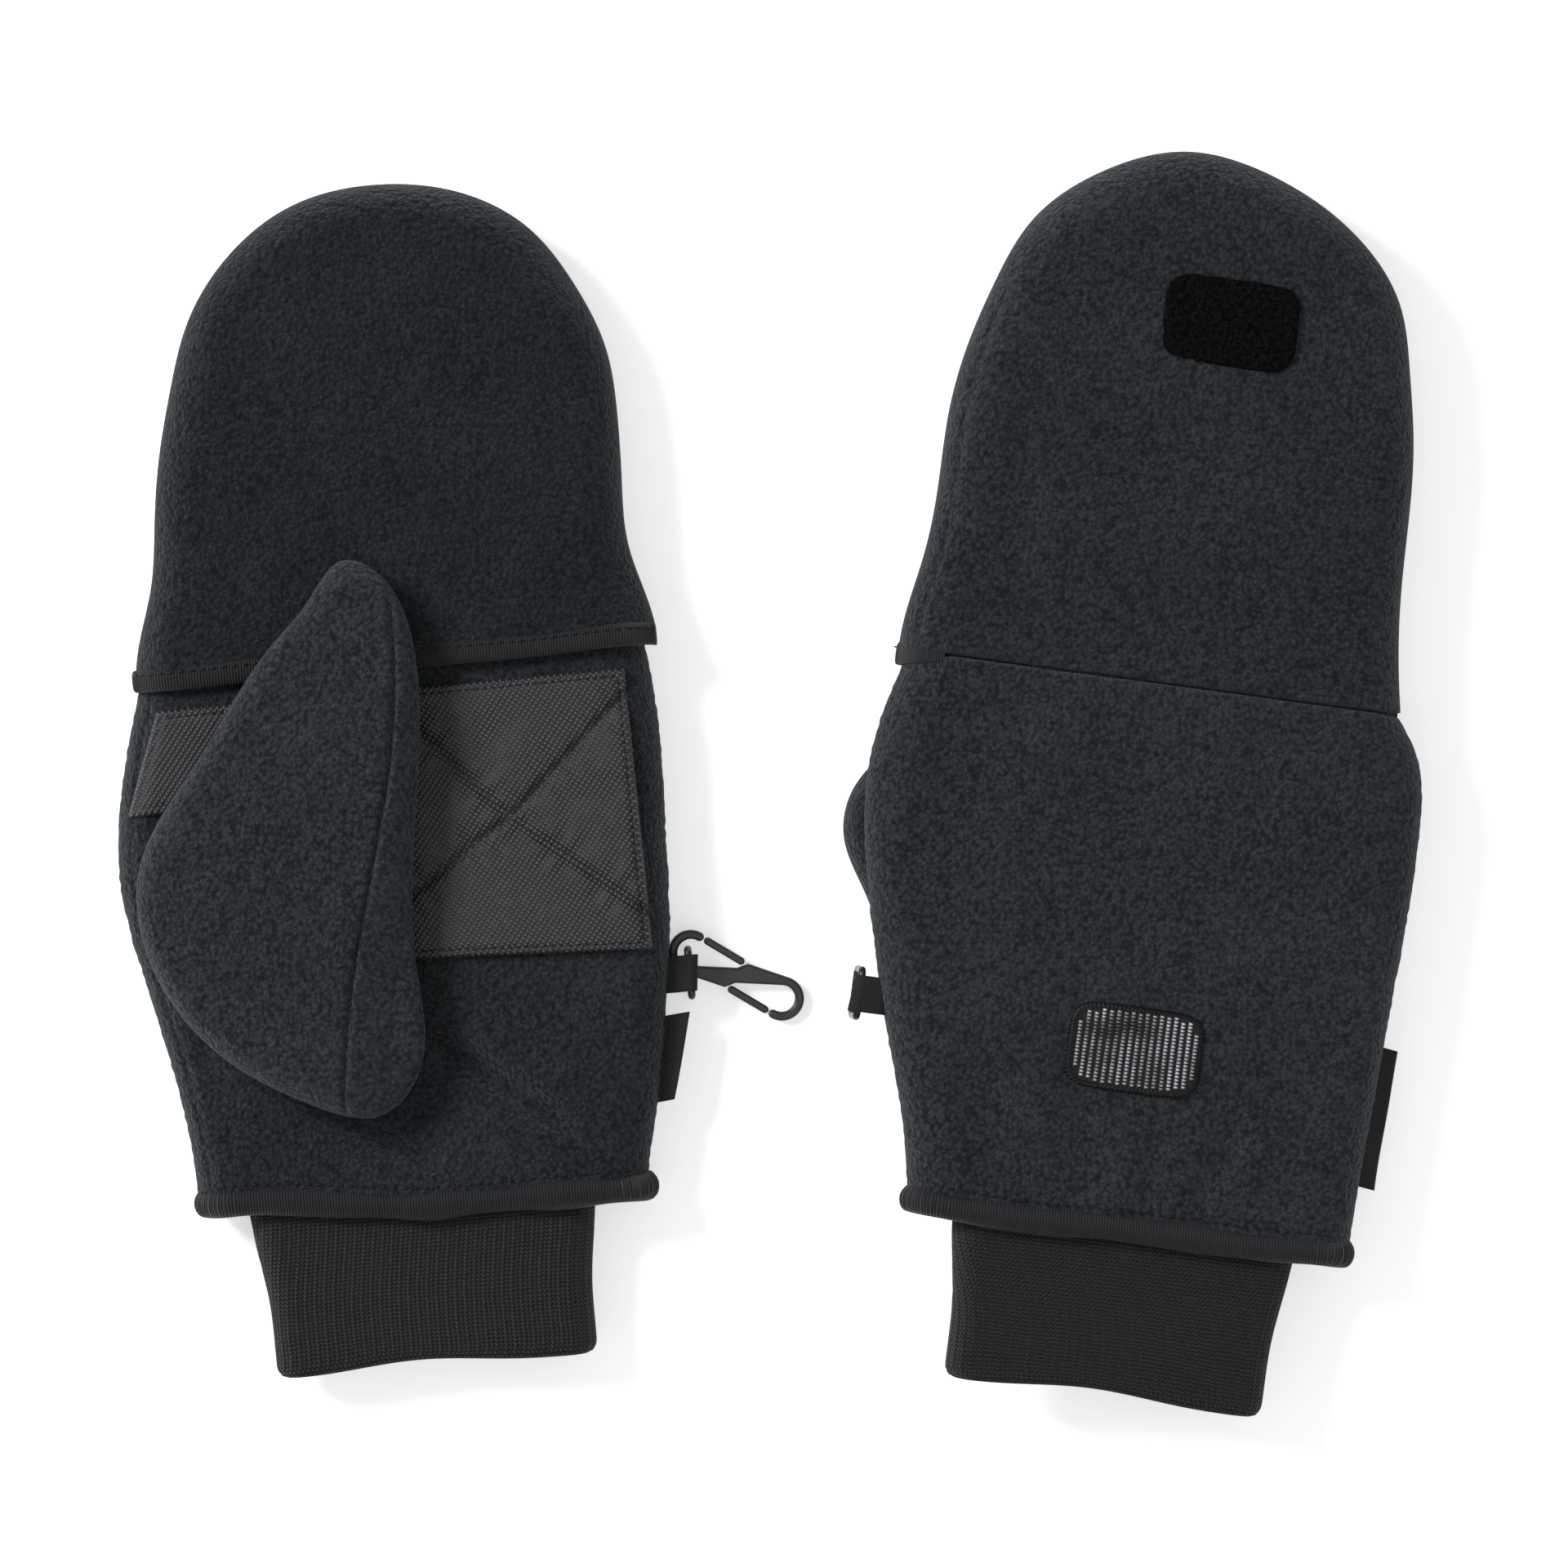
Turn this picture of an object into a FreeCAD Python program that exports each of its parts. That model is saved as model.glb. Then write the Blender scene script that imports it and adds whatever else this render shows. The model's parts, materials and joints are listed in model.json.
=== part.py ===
"""A pair of convertible flip-top fleece mittens, lying side by side on a table.

The left mitten lies palm up and the right one palm down, so the right is the left one turned over in height.
Each mitten has its own flat frame: x across the palm, y from the wrist hem to the finger tips, and a depth
that starts at 0 on the outside of the back of the hand and grows towards the palm.
"""

import FreeCAD, Part
import math
import os

import Sketcher

Vector = FreeCAD.Vector
Rotation = FreeCAD.Rotation

doc = FreeCAD.newDocument("FlipTopMittens")
sheet = doc.addObject("Spreadsheet::Sheet", "Sizes")

# Driving dimensions, in millimetres and degrees.
SIZES = [
    # glove body
    ("palm_width", 134.0, "widest palm of the flattened glove"),
    ("glove_length", 132.0, "wrist hem to the seam that carries the cap"),
    ("glove_thick", 20.0, "outside thickness of the lofted glove"),
    ("fleece_wall", 3.5, "thickness of the body's fleece"),
    ("side_round", 8.0, "rounding of the body's sides"),
    # cap
    ("cap_length_left", 115.5, "seam to the tip of the left cap"),
    ("cap_length_right", 130.0, "seam to the tip of the right cap, which lies stretched"),
    ("cap_wall", 3.2, "thickness of the cap's fleece"),
    ("cap_gap", 0.5, "room between the palm and the cap's hem"),
    ("cap_round", 8.0, "rounding of the cap's edge"),
    ("seam_gap", 0.3, "room at the cap seam"),
    ("hem_overlap", 3.5, "how far the cap's hem laps over the palm"),
    ("binding_width", 5.5, "width of the bound hem"),
    ("binding_proud", 0.9, "how far the binding stands off the cap"),
    ("fold_rise", 1.7, "height of the fold line above the back, half the two closure patches"),
    # finger stalls
    ("stall_wall", 1.8, "knit of the finger stalls"),
    ("stall_thick", 10.4, "outside thickness of a finger stall"),
    ("stall_out", 13.5, "how far the stalls stand out of the glove"),
    ("stall_in", 9.0, "how far the stalls reach back into the glove"),
    ("stall_gap", 1.0, "room between neighbouring stalls"),
    ("stall_side", 3.6, "room between the outer stalls and the glove's sides"),
    ("stall_floor", 4.0, "depth at which the stalls start"),
    # wrist
    ("piping_height", 7.0, "width of the rolled wrist hem along the glove"),
    ("piping_proud", 0.8, "how far the rolled hem stands off the glove"),
    ("piping_round", 1.9, "rounding of the rolled hem"),
    ("cuff_length", 41.0, "knit cuff below the wrist hem"),
    ("cuff_inside", 18.0, "knit cuff inside the glove"),
    ("cuff_top_width", 88.0, "knit cuff at the wrist hem"),
    ("cuff_end_width", 79.0, "knit cuff at its end"),
    ("cuff_thick", 12.0, "outside thickness of the cuff"),
    ("cuff_wall", 2.2, "thickness of the rib knit"),
    # thumb
    ("thumb_thick", 14.5, "left thumb at its root"),
    ("thumb_taper", 3.5, "how much thinner the left thumb is at its tip"),
    ("thumb_wall", 2.0, "thickness of the thumb's fleece"),
    ("thumb_gap", 0.4, "room under the thumb"),
    ("thumb_lean", 2.8, "degrees that the thumb leans away from the palm"),
    ("thumb_hole_r", 14.0, "radius of the way from the palm into the thumb"),
    ("hinge_margin", 2.5, "thumb's fold line outside its root"),
    # patches and trim
    ("patch_thick", 0.8, "grip patch"),
    ("closure_width", 33.0, "hook and loop patches, across"),
    ("closure_height", 21.0, "hook and loop patches, along the glove"),
    ("closure_thick", 1.5, "hook and loop patches"),
    ("closure_corner", 5.0, "corner radius of the closure patches"),
    ("closure_reach", 89.0, "cap seam to the middle of each closure patch"),
    ("closure_shift_left", 0.0, "left closure patches, off the middle of the seam"),
    ("closure_shift_right", 4.5, "right closure patches, off the middle of the seam"),
    ("webbing_width", 9.0, "hanging loop"),
    ("webbing_thick", 0.9, "one layer of the hanging loop"),
    ("webbing_reach", 7.6, "hanging loop outside the side seam"),
    ("seam_root", 2.0, "how deep the trim is sewn into the side seam"),
    ("webbing_place", 47.8, "wrist hem to the middle of the hanging loop"),
    ("tunnel_play", 0.3, "room round the ring's wire"),
    ("wire_r", 0.9, "ring's wire"),
    ("ring_length", 13.2, "ring, outside, along the side seam"),
    ("ring_height", 12.0, "ring, outside, hanging"),
    ("ring_corner", 1.2, "bend of the ring's wire"),
    ("label_thick", 0.8, "side label"),
    ("label_reach", 5.0, "side label outside the seam"),
    ("label_length_left", 21.5, "left side label"),
    ("label_length_right", 35.0, "right side label"),
    ("label_end", 16.5, "wrist hem to the near end of the label"),
    # plastic clip
    ("clip_thick", 2.8, "thickness of the moulded clip"),
    ("clip_rod", 2.2, "width of the clip's hooks"),
    ("clip_reach", 12.7, "middle of the clip to the middle of each hook's turn"),
    ("clip_bend", 4.4, "radius of each hook, to the middle of its rod"),
    ("clip_edge", 0.7, "rounding of the clip's edges"),
    ("gate_rod", 1.9, "width of a gate"),
    ("gate_gap", 0.35, "room round a gate"),
    # how the pair lies
    ("rest_height", 1.7, "height of the left mitten's back over the table"),
    ("turn_left", 5.3, "degrees that the left mitten is turned on the table"),
    ("turn_right", -7.5, "degrees that the right mitten is turned on the table"),
    ("roll_right", 6.0, "degrees that the right mitten leans on its thumb"),
    ("roll_pivot", 52.3, "where the right mitten's far side meets the table"),
    ("place_x_left", -84.4, "left wrist, across"),
    ("place_y_left", -101.4, "left wrist, along"),
    ("place_x_right", 88.0, "right wrist, across"),
    ("place_y_right", -109.0, "right wrist, along"),
    ("clip_turn", -27.1, "degrees that the clip is turned on the table"),
    ("clip_slope", 7.0, "degrees that the clip slopes down to the table"),
]
for row, (alias, value, words) in enumerate(SIZES, start=1):
    sheet.set(f"A{row}", words)
    sheet.set(f"B{row}", str(value))
    sheet.setAlias(f"B{row}", alias)
doc.recompute()


def size(alias):
    return float(sheet.get(alias))


# ---------------------------------------------------------------- outlines
# Shares of palm_width across and of glove_length along, from the wrist hem up each side.
BODY_SIDES = {
    "left": {
        "thumb": [(-.42, .03), (-.428, .15), (-.452, .30), (-.485, .455), (-.51, .606), (-.50, .758), (-.467, .90), (-.437, 1.0)],
        "far": [(.41, .03), (.437, .15), (.463, .30), (.485, .455), (.4925, .606), (.4985, .758), (.495, .90), (.484, 1.0)],
    },
    "right": {
        "thumb": [(-.414, .03), (-.44, .15), (-.487, .30), (-.53, .455), (-.568, .62), (-.584, .758), (-.566, .90), (-.537, 1.0)],
        "far": [(.409, .03), (.412, .15), (.42, .30), (.427, .455), (.436, .62), (.4375, .80), (.415, .93), (.369, 1.0)],
    },
}
# Shares of palm_width across and of the cap's length above the seam, over the tip from the thumb side.
CAP_EDGE = {
    "left": [(-.45, -.03), (-.44, .05), (-.404, .19), (-.386, .33), (-.366, .47), (-.334, .61), (-.292, .745),
             (-.20, .885), (-.075, .975), (.075, 1.0), (.22, .97), (.34, .885), (.422, .745), (.466, .61),
             (.476, .47), (.473, .33), (.474, .19), (.504, .05), (.515, -.03)],
    "right": [(-.556, -.03), (-.553, .05), (-.532, .18), (-.522, .33), (-.52, .46), (-.503, .58), (-.467, .71),
              (-.416, .83), (-.30, .94), (-.145, 1.0), (.03, .97), (.175, .89), (.276, .77), (.311, .645),
              (.334, .52), (.344, .40), (.348, .24), (.362, .09), (.383, -.03)],
}
# The folded thumb, round from its tip, as shares of palm_width and glove_length.
THUMB_EDGE = [(-.033, 1.18), (-.18, 1.04), (-.335, .84), (-.46, .645), (-.452, .47), (-.339, .292), (-.184, .188),
              (-.06, .16), (.012, .23), (.026, .42), (.05, .70), (.077, .925), (.064, 1.07), (.02, 1.155)]
THUMB_SEAM = [(.03, 1.3), (.041, 1.12), (.041, 1.0), (-.009, .704), (-.089, .407), (-.125, .17), (-.14, 0.0)]
THUMB_HOLE = (-.25, .40)
THUMB_SHIFT = {"left": (0.0, 0.0), "right": (-.134, .038)}
# The grip patch: palm corners, then its edge round the thumb's root.
PATCH_EDGE = [(-.40, .95), (.448, .935), (.452, .415), (.005, .445), (-.03, .60), (-.17, .74), (-.455, .745)]

HEIGHT = {"left": 1, "right": -1}  # the right mitten is turned over


def station(points, across, along, start=0.0):
    """Shares of two sizes as points in a mitten's frame."""
    return [Vector(u * across, start + v * along, 0) for u, v in points]


def inset(points, distance, closed=False):
    """The points moved to the right of their direction of travel by a distance."""
    moved = []
    count = len(points)
    for i, here in enumerate(points):
        before = points[i - 1] if i or closed else here
        after = points[(i + 1) % count] if i + 1 < count or closed else here
        along = (after - before).normalize()
        moved.append(here + Vector(along.y, -along.x, 0) * distance)
    return moved


def spline(points, closed=False):
    curve = Part.BSplineCurve()
    curve.interpolate(Points=points, PeriodicFlag=closed)
    return curve


def body_points(side, grow=0.0):
    """The two sides of the glove body, wrist to seam. A positive grow makes it wider."""
    sides = BODY_SIDES[side]
    across, along = size("palm_width"), size("glove_length")
    thumb = inset(station(sides["thumb"], across, along), -grow)
    far = inset(station(sides["far"], across, along), grow)
    return thumb, far


def cap_points(side, grow=0.0):
    length = size("cap_length_" + side)
    return inset(station(CAP_EDGE[side], size("palm_width"), length, size("glove_length")), -grow)


def thumb_points(side, grow=0.0):
    shift_x, shift_y = THUMB_SHIFT[side]
    shifted = [(u + shift_x, v + shift_y) for u, v in THUMB_EDGE]
    outline = station(shifted, size("palm_width"), size("glove_length"))
    return inset(outline, grow, closed=True)  # its points run against the clock


def run_on(points, low, high):
    """A side of the glove, run straight on past both of its ends."""
    def beyond(inner, outer, y):
        slope = (outer.x - inner.x) / (outer.y - inner.y)
        return Vector(outer.x + slope * (y - outer.y), y, 0)

    return [beyond(points[1], points[0], low)] + points + [beyond(points[-2], points[-1], high)]


def tube_edges(thumb, far, start, end):
    """A closed outline whose two sides are splines and whose ends are straight, cut at start and end."""
    def cut(points):
        curve = spline(points).toShape()
        band = Part.makePlane(1000, end - start, Vector(-500, start, 0))
        piece = curve.common(band)
        ends = sorted((v.Point for v in piece.Vertexes), key=lambda p: p.y)
        return piece.Edges[0].Curve.trim(*piece.Edges[0].ParameterRange), ends[0], ends[-1]

    left, left_low, left_high = cut(thumb)
    right, right_low, right_high = cut(far)
    return [left, Part.LineSegment(left_high, right_high), right, Part.LineSegment(right_low, left_low)]


def body_edges(side, start, end, grow=0.0):
    """The flattened glove's outline between two stations."""
    low, high = -20.0, size("glove_length") + 20.0
    thumb, far = (run_on(points, low, high) for points in body_points(side, grow))
    return tube_edges(thumb, far, start, end)


# ---------------------------------------------------------------- PartDesign helpers
def new_body(label):
    body = doc.addObject("PartDesign::Body", label)
    body.Label = label
    return body


def plane_of(body, role):
    return next(f for f in body.Origin.OriginFeatures if f.Role == role)


def new_sketch(body, name, geometry, height="0", role="XY_Plane", lean=None):
    """A sketch on one of the body's own planes, lifted by a formula of the sheet's cells."""
    made = body.newObject("Sketcher::SketchObject", name)
    made.AttachmentSupport = [(plane_of(body, role), "")]
    made.MapMode = "FlatFace"
    if lean is not None:
        made.AttachmentOffset = FreeCAD.Placement(Vector(), lean)
    made.setExpression("AttachmentOffset.Base.z", height)
    made.addGeometry(geometry, False)
    doc.recompute()
    return made


def extrude(body, name, kind, profile, length, upwards):
    """Adds (Pad) or cuts (Pocket) upwards or downwards from the profile."""
    made = body.newObject("PartDesign::" + kind, name)
    made.Profile = profile
    made.setExpression("Length", length)
    made.Reversed = upwards if kind == "Pocket" else not upwards
    profile.Visibility = False
    volume = body.Shape.Volume if kind == "Pocket" else 0.0
    doc.recompute()
    if kind == "Pocket" and not body.Shape.Volume < volume - 1e-6:
        raise RuntimeError(f"{body.Label}: {name} cuts nothing")
    return made


def round_edges(body, name, base, radius, chosen):
    names = [f"Edge{i}" for i, edge in enumerate(base.Shape.Edges, start=1) if chosen(edge)]
    if not names:
        raise RuntimeError(f"{body.Label}: {name} found no edges")
    made = body.newObject("PartDesign::Fillet", name)
    made.Base = (base, names)
    made.setExpression("Radius", radius)
    doc.recompute()
    return made


def at_height(edge, z):
    return abs(edge.BoundBox.ZMin - z) < 1e-4 and abs(edge.BoundBox.ZMax - z) < 1e-4


def is_curved(edge):
    return not isinstance(edge.Curve, Part.Line)


def rectangle(x0, y0, x1, y1):
    corners = [Vector(x0, y0, 0), Vector(x1, y0, 0), Vector(x1, y1, 0), Vector(x0, y1, 0)]
    return [Part.LineSegment(corners[i], corners[(i + 1) % 4]) for i in range(4)]


def rounded_rectangle(x, y, width, height, radius):
    """Lines and quarter arcs round a centre."""
    edges = []
    for turn in range(4):
        angle = math.radians(90 * turn)
        half_w, half_h = (width / 2, height / 2) if turn % 2 == 0 else (height / 2, width / 2)

        def place(a, b, angle=angle):
            return Vector(x + a * math.cos(angle) - b * math.sin(angle), y + a * math.sin(angle) + b * math.cos(angle), 0)

        edges.append(Part.LineSegment(place(half_w, -half_h + radius), place(half_w, half_h - radius)))
        middle = Vector(half_w - radius, half_h - radius, 0)
        diagonal = radius * math.sqrt(0.5)
        edges.append(Part.Arc(
            place(half_w, half_h - radius),
            place(middle.x + diagonal, middle.y + diagonal),
            place(half_w - radius, half_h),
        ))
    return edges


def stadium(x, z, width, thick):
    """A flat tube's section: two lines and two half circles. Its width is across, its thickness along the second axis."""
    radius = thick / 2
    reach = width / 2 - radius
    return [
        Part.LineSegment(Vector(x - reach, z + radius, 0), Vector(x + reach, z + radius, 0)),
        Part.Arc(Vector(x + reach, z + radius, 0), Vector(x + reach + radius, z, 0), Vector(x + reach, z - radius, 0)),
        Part.LineSegment(Vector(x + reach, z - radius, 0), Vector(x - reach, z - radius, 0)),
        Part.Arc(Vector(x - reach, z - radius, 0), Vector(x - reach - radius, z, 0), Vector(x - reach, z + radius, 0)),
    ]


# ---------------------------------------------------------------- where each mitten lies
def mitten_placement(side):
    """From a mitten's own frame, whose height is HEIGHT times depth, to the table."""
    x, y = size("place_x_" + side), size("place_y_" + side)
    turn = Rotation(Vector(0, 0, 1), size("turn_" + side))
    if side == "left":
        return FreeCAD.Placement(Vector(x, y, size("rest_height")), turn)
    roll = math.radians(size("roll_right"))
    lift = size("roll_pivot") * math.sin(roll) + lowest_depth() * math.cos(roll)
    return FreeCAD.Placement(Vector(x, y, lift), turn * Rotation(Vector(0, 1, 0), size("roll_right")))


def lowest_depth():
    """Depth of the binding's outside, which is the furthest that the palm side reaches."""
    return size("glove_thick") + size("cap_gap") + size("cap_wall") + size("binding_proud")


def finish(body, side):
    body.Placement = mitten_placement(side)
    doc.recompute()


# ---------------------------------------------------------------- glove body
def glove_panel(side, name, toward):
    """Half of the glove body, split at the side seam: toward -1 is the back, +1 the palm."""
    body = new_body(f"{side}_{name}")
    up = HEIGHT[side] * toward > 0
    seam = f"{HEIGHT[side]} * Sizes.glove_thick / 2"
    start, end = size("piping_height") / 2 + 0.2, size("glove_length")
    outline = new_sketch(body, "Outline", body_edges(side, start, end), seam)
    pad = extrude(body, "Loft", "Pad", outline, "Sizes.glove_thick / 2", up)
    face = HEIGHT[side] * size("glove_thick") / 2 * (1 + toward)
    rounded = round_edges(
        body, "SideRound", pad, "Sizes.side_round", lambda e: at_height(e, face) and is_curved(e))
    body.Tip = rounded
    hollow = new_sketch(body, "HandSpace", body_edges(side, -5, end + 5, -size("fleece_wall")), seam)
    extrude(body, "HandPocket", "Pocket", hollow, "Sizes.glove_thick / 2 - Sizes.fleece_wall", up)
    if toward > 0:
        hole = new_sketch(body, "ThumbWay", [thumb_hole(side)], seam)
        extrude(body, "ThumbPocket", "Pocket", hole, "Sizes.glove_thick", up)
    for trim, room in (
        (label_edges(side), "Sizes.label_thick / 2"),
        (webbing_root(side), "Sizes.wire_r + Sizes.tunnel_play + Sizes.webbing_thick"),
    ):
        sewn = new_sketch(body, "SewnTrim", trim, seam)
        extrude(body, "SeamSlot", "Pocket", sewn, room, up)
    finish(body, side)


def thumb_hole(side):
    shift_x, shift_y = THUMB_SHIFT[side]
    x = (THUMB_HOLE[0] + shift_x) * size("palm_width")
    y = (THUMB_HOLE[1] + shift_y) * size("glove_length")
    return Part.Circle(Vector(x, y, 0), Vector(0, 0, 1), size("thumb_hole_r"))


def palm_patch(side):
    """The grip patch on the palm, cut round the thumb's root."""
    body = new_body(f"{side}_palm_patch")
    corners = station(PATCH_EDGE, size("palm_width"), size("glove_length"))
    if side == "right":
        slide = (BODY_SIDES["right"]["far"][5][0] - BODY_SIDES["left"]["far"][5][0]) * size("palm_width")
        corners = [Vector(p.x + slide, p.y, 0) for p in corners]
    edges = [Part.LineSegment(corners[i - 1], corners[i]) for i in range(len(corners))]
    outline = new_sketch(body, "Outline", edges, f"{HEIGHT[side]} * Sizes.glove_thick")
    extrude(body, "Patch", "Pad", outline, "Sizes.patch_thick", HEIGHT[side] > 0)
    finish(body, side)


def finger_stalls(side):
    """Four half-finger tubes side by side, from the index finger at the thumb side to the little finger."""
    thumb, far = body_points(side, -size("fleece_wall") - size("stall_side"))
    left, right = thumb[-1].x, far[-1].x
    gap = size("stall_gap")
    width = (right - left - 3 * gap) / 4
    for i, finger in enumerate(["index", "middle", "ring", "little"]):
        body = new_body(f"{side}_{finger}_stall")
        x = left + width / 2 + i * (width + gap)
        depth = size("stall_floor") + size("stall_thick") / 2
        z = HEIGHT[side] * depth
        wall = size("stall_wall")
        start = "Sizes.stall_in - Sizes.glove_length"
        length = "Sizes.stall_in + Sizes.stall_out"
        outline = new_sketch(body, "Outside", stadium(x, z, width, size("stall_thick")), start, "XZ_Plane")
        extrude(body, "Tube", "Pad", outline, length, False)
        hollow = stadium(x, z, width - 2 * wall, size("stall_thick") - 2 * wall)
        inside = new_sketch(body, "Inside", hollow, start, "XZ_Plane")
        extrude(body, "FingerSpace", "Pocket", inside, length, False)
        finish(body, side)


# ---------------------------------------------------------------- cap
def cap_depth():
    """Outside thickness of the cap, back to palm."""
    return size("glove_thick") + size("cap_gap") + size("cap_wall")


def cap_panel(side, name, toward, start):
    body = new_body(f"{side}_{name}")
    up = HEIGHT[side] * toward > 0
    depth = "(Sizes.glove_thick + Sizes.cap_gap + Sizes.cap_wall) / 2"
    seam = f"{HEIGHT[side]} * {depth}"
    outline = new_sketch(body, "Outline", dome_edges(cap_points(side), start), seam)
    pad = extrude(body, "Loft", "Pad", outline, depth, up)
    face = HEIGHT[side] * cap_depth() / 2 * (1 + toward)
    rounded = round_edges(
        body, "EdgeRound", pad, "Sizes.cap_round", lambda e: at_height(e, face) and is_curved(e))
    body.Tip = rounded
    inner = stretched_dome(cap_points(side, -size("cap_wall")), start - 5)
    hollow = new_sketch(body, "FingerSpace", inner, seam)
    extrude(body, "FingerPocket", "Pocket", hollow, f"{depth} - Sizes.cap_wall", up)
    finish(body, side)


def dome_edges(points, start):
    """The cap's outline above a straight cut at start."""
    curve = spline(points).toShape()
    above = Part.makePlane(1000, 1000, Vector(-500, start, 0))
    piece = curve.common(above).Edges[0]
    ends = sorted((v.Point for v in piece.Vertexes), key=lambda p: p.x)
    return [piece.Curve.trim(*piece.ParameterRange), Part.LineSegment(ends[1], ends[0])]


def stretched_dome(points, start):
    """The cap's inner outline with straight sides run down to start."""
    ends = [Vector(points[0].x, start, 0), Vector(points[-1].x, start, 0)]
    return [
        spline(points),
        Part.LineSegment(points[-1], ends[1]),
        Part.LineSegment(ends[1], ends[0]),
        Part.LineSegment(ends[0], points[0]),
    ]


def cap_binding(side):
    """The bound hem of the cap's palm half. It laps over the palm and wraps down both sides."""
    body = new_body(f"{side}_cap_binding")
    up = HEIGHT[side] > 0
    start = size("glove_length") - size("hem_overlap")
    end = start + size("binding_width")
    depth = "(Sizes.glove_thick + Sizes.cap_gap + Sizes.cap_wall) / 2"
    seam = f"{HEIGHT[side]} * {depth}"
    points = cap_points(side, size("binding_proud"))
    rising = points[:4], points[:-5:-1]
    strip = tube_edges(*(run_on(edge, start - 9, end + 90) for edge in rising), start, end)
    outline = new_sketch(body, "Outline", strip, seam)
    pad = extrude(body, "Strip", "Pad", outline, f"{depth} + Sizes.binding_proud", up)
    face = HEIGHT[side] * (cap_depth() + size("binding_proud"))
    rounded = round_edges(
        body, "SideRound", pad, "Sizes.cap_round", lambda e: at_height(e, face) and is_curved(e))
    body.Tip = rounded
    hollow = new_sketch(body, "PalmSpace", body_edges(side, start - 4, end + 4, size("seam_gap") + 0.3), seam)
    extrude(body, "PalmPocket", "Pocket", hollow, f"{depth} - Sizes.cap_wall", up)
    finish(body, side)


# ---------------------------------------------------------------- closure patches, wrist
def closure_patch(side, name, reach):
    """A hook or loop patch on the outside of the back, at a distance from the cap's seam."""
    body = new_body(f"{side}_{name}")
    thumb, far = body_points(side)
    x = (thumb[-1].x + far[-1].x) / 2 + size("stall_gap") + size(f"closure_shift_{side}")
    y = size("glove_length") + reach
    edges = rounded_rectangle(x, y, size("closure_width"), size("closure_height"), size("closure_corner"))
    outline = new_sketch(body, "Outline", edges, "0")
    extrude(body, "Patch", "Pad", outline, "Sizes.closure_thick", HEIGHT[side] < 0)
    finish(body, side)


def wrist_piping(side):
    """The rolled hem round the wrist opening."""
    body = new_body(f"{side}_wrist_piping")
    thumb, far = body_points(side)
    proud = size("piping_proud")
    x = (thumb[0].x + far[0].x) / 2
    z = HEIGHT[side] * size("glove_thick") / 2
    width = far[0].x - thumb[0].x + 2 * proud
    thick = size("glove_thick") + 2 * proud
    wall = (thick - size("cuff_thick")) / 2 - 0.2
    start = "-Sizes.piping_height / 2"
    outline = new_sketch(body, "Outside", stadium(x, z, width, thick), start, "XZ_Plane")
    pad = extrude(body, "Roll", "Pad", outline, "Sizes.piping_height", True)
    hollow = new_sketch(body, "Inside", stadium(x, z, width - 2 * wall, thick - 2 * wall), start, "XZ_Plane")
    pocket = extrude(body, "WristWay", "Pocket", hollow, "Sizes.piping_height", True)
    rounded = round_edges(
        body, "Rolled", pocket, "Sizes.piping_round", lambda e: e.BoundBox.YLength < 1e-4)
    body.Tip = rounded
    finish(body, side)


def knit_cuff(side):
    """The rib-knit tube that grips the wrist. It runs up inside the glove."""
    body = new_body(f"{side}_knit_cuff")
    thumb, far = body_points(side)
    x = (thumb[0].x + far[0].x) / 2
    z = HEIGHT[side] * size("glove_thick") / 2
    thick = size("cuff_thick")
    for name, kind, wall in (("Outside", "AdditiveLoft", 0.0), ("Inside", "SubtractiveLoft", size("cuff_wall"))):
        sections = []
        for place, width in (("-Sizes.cuff_inside", "cuff_top_width"), ("Sizes.cuff_length", "cuff_end_width")):
            section = stadium(x, z, size(width) - 2 * wall, thick - 2 * wall)
            sections.append(new_sketch(body, name, section, place, "XZ_Plane"))
        loft = body.newObject("PartDesign::" + kind, name + "Loft")
        loft.Profile = sections[0]
        loft.Sections = [sections[1]]
        loft.Ruled = True
        doc.recompute()
    finish(body, side)


# ---------------------------------------------------------------- thumb
def thumb_hinge(side):
    """Two facts of the thumb's fold line, in the mitten's frame: a point on it and its direction."""
    outline = thumb_points(side)
    root_start, root_end = outline[4], outline[7]
    along = (root_end - root_start).normalize()
    outward = Vector(along.y, -along.x, 0)
    if outward.dot(outline[0] - root_start) > 0:
        outward = outward * -1
    furthest = max(p.dot(outward) for p in outline)
    point = root_start + outward * (furthest - root_start.dot(outward) + size("hinge_margin"))
    depth = size("glove_thick") + size("patch_thick") + size("thumb_gap")
    return Vector(point.x, point.y, HEIGHT[side] * depth), along, outward


def thumb_placement(side):
    """The thumb is modelled flat on the palm, then leans away from it about its fold line."""
    point, along, outward = thumb_hinge(side)
    lift = along.cross(Vector(0, 0, HEIGHT[side]))
    sign = 1 if lift.dot(outward) > 0 else -1
    turn = Rotation(along, sign * size("thumb_lean"))
    lean = FreeCAD.Placement(point - turn.multVec(point), turn)
    return mitten_placement(side).multiply(lean)


def thumb_far_plane(side):
    """Thickness of the thumb at the frame's origin, and how it changes along x and y."""
    if side == "left":
        _, _, outward = thumb_hinge(side)
        outline = thumb_points(side)
        reach = max(p.dot(outward) for p in outline) - min(p.dot(outward) for p in outline)
        slope = size("thumb_taper") / reach
        level = size("thumb_thick") - slope * max(p.dot(outward) for p in outline)
        return level, slope * outward.x, slope * outward.y
    # The right thumb fills the wedge between the palm and the table.
    place = thumb_placement(side)
    normal = place.Rotation.inverted().multVec(Vector(0, 0, 1))
    start = place.inverse().multVec(Vector(0, 0, 0))
    depth = size("glove_thick") + size("patch_thick") + size("thumb_gap")
    level = depth + normal.dot(start) / normal.z
    return -level, normal.x / normal.z, normal.y / normal.z


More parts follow.
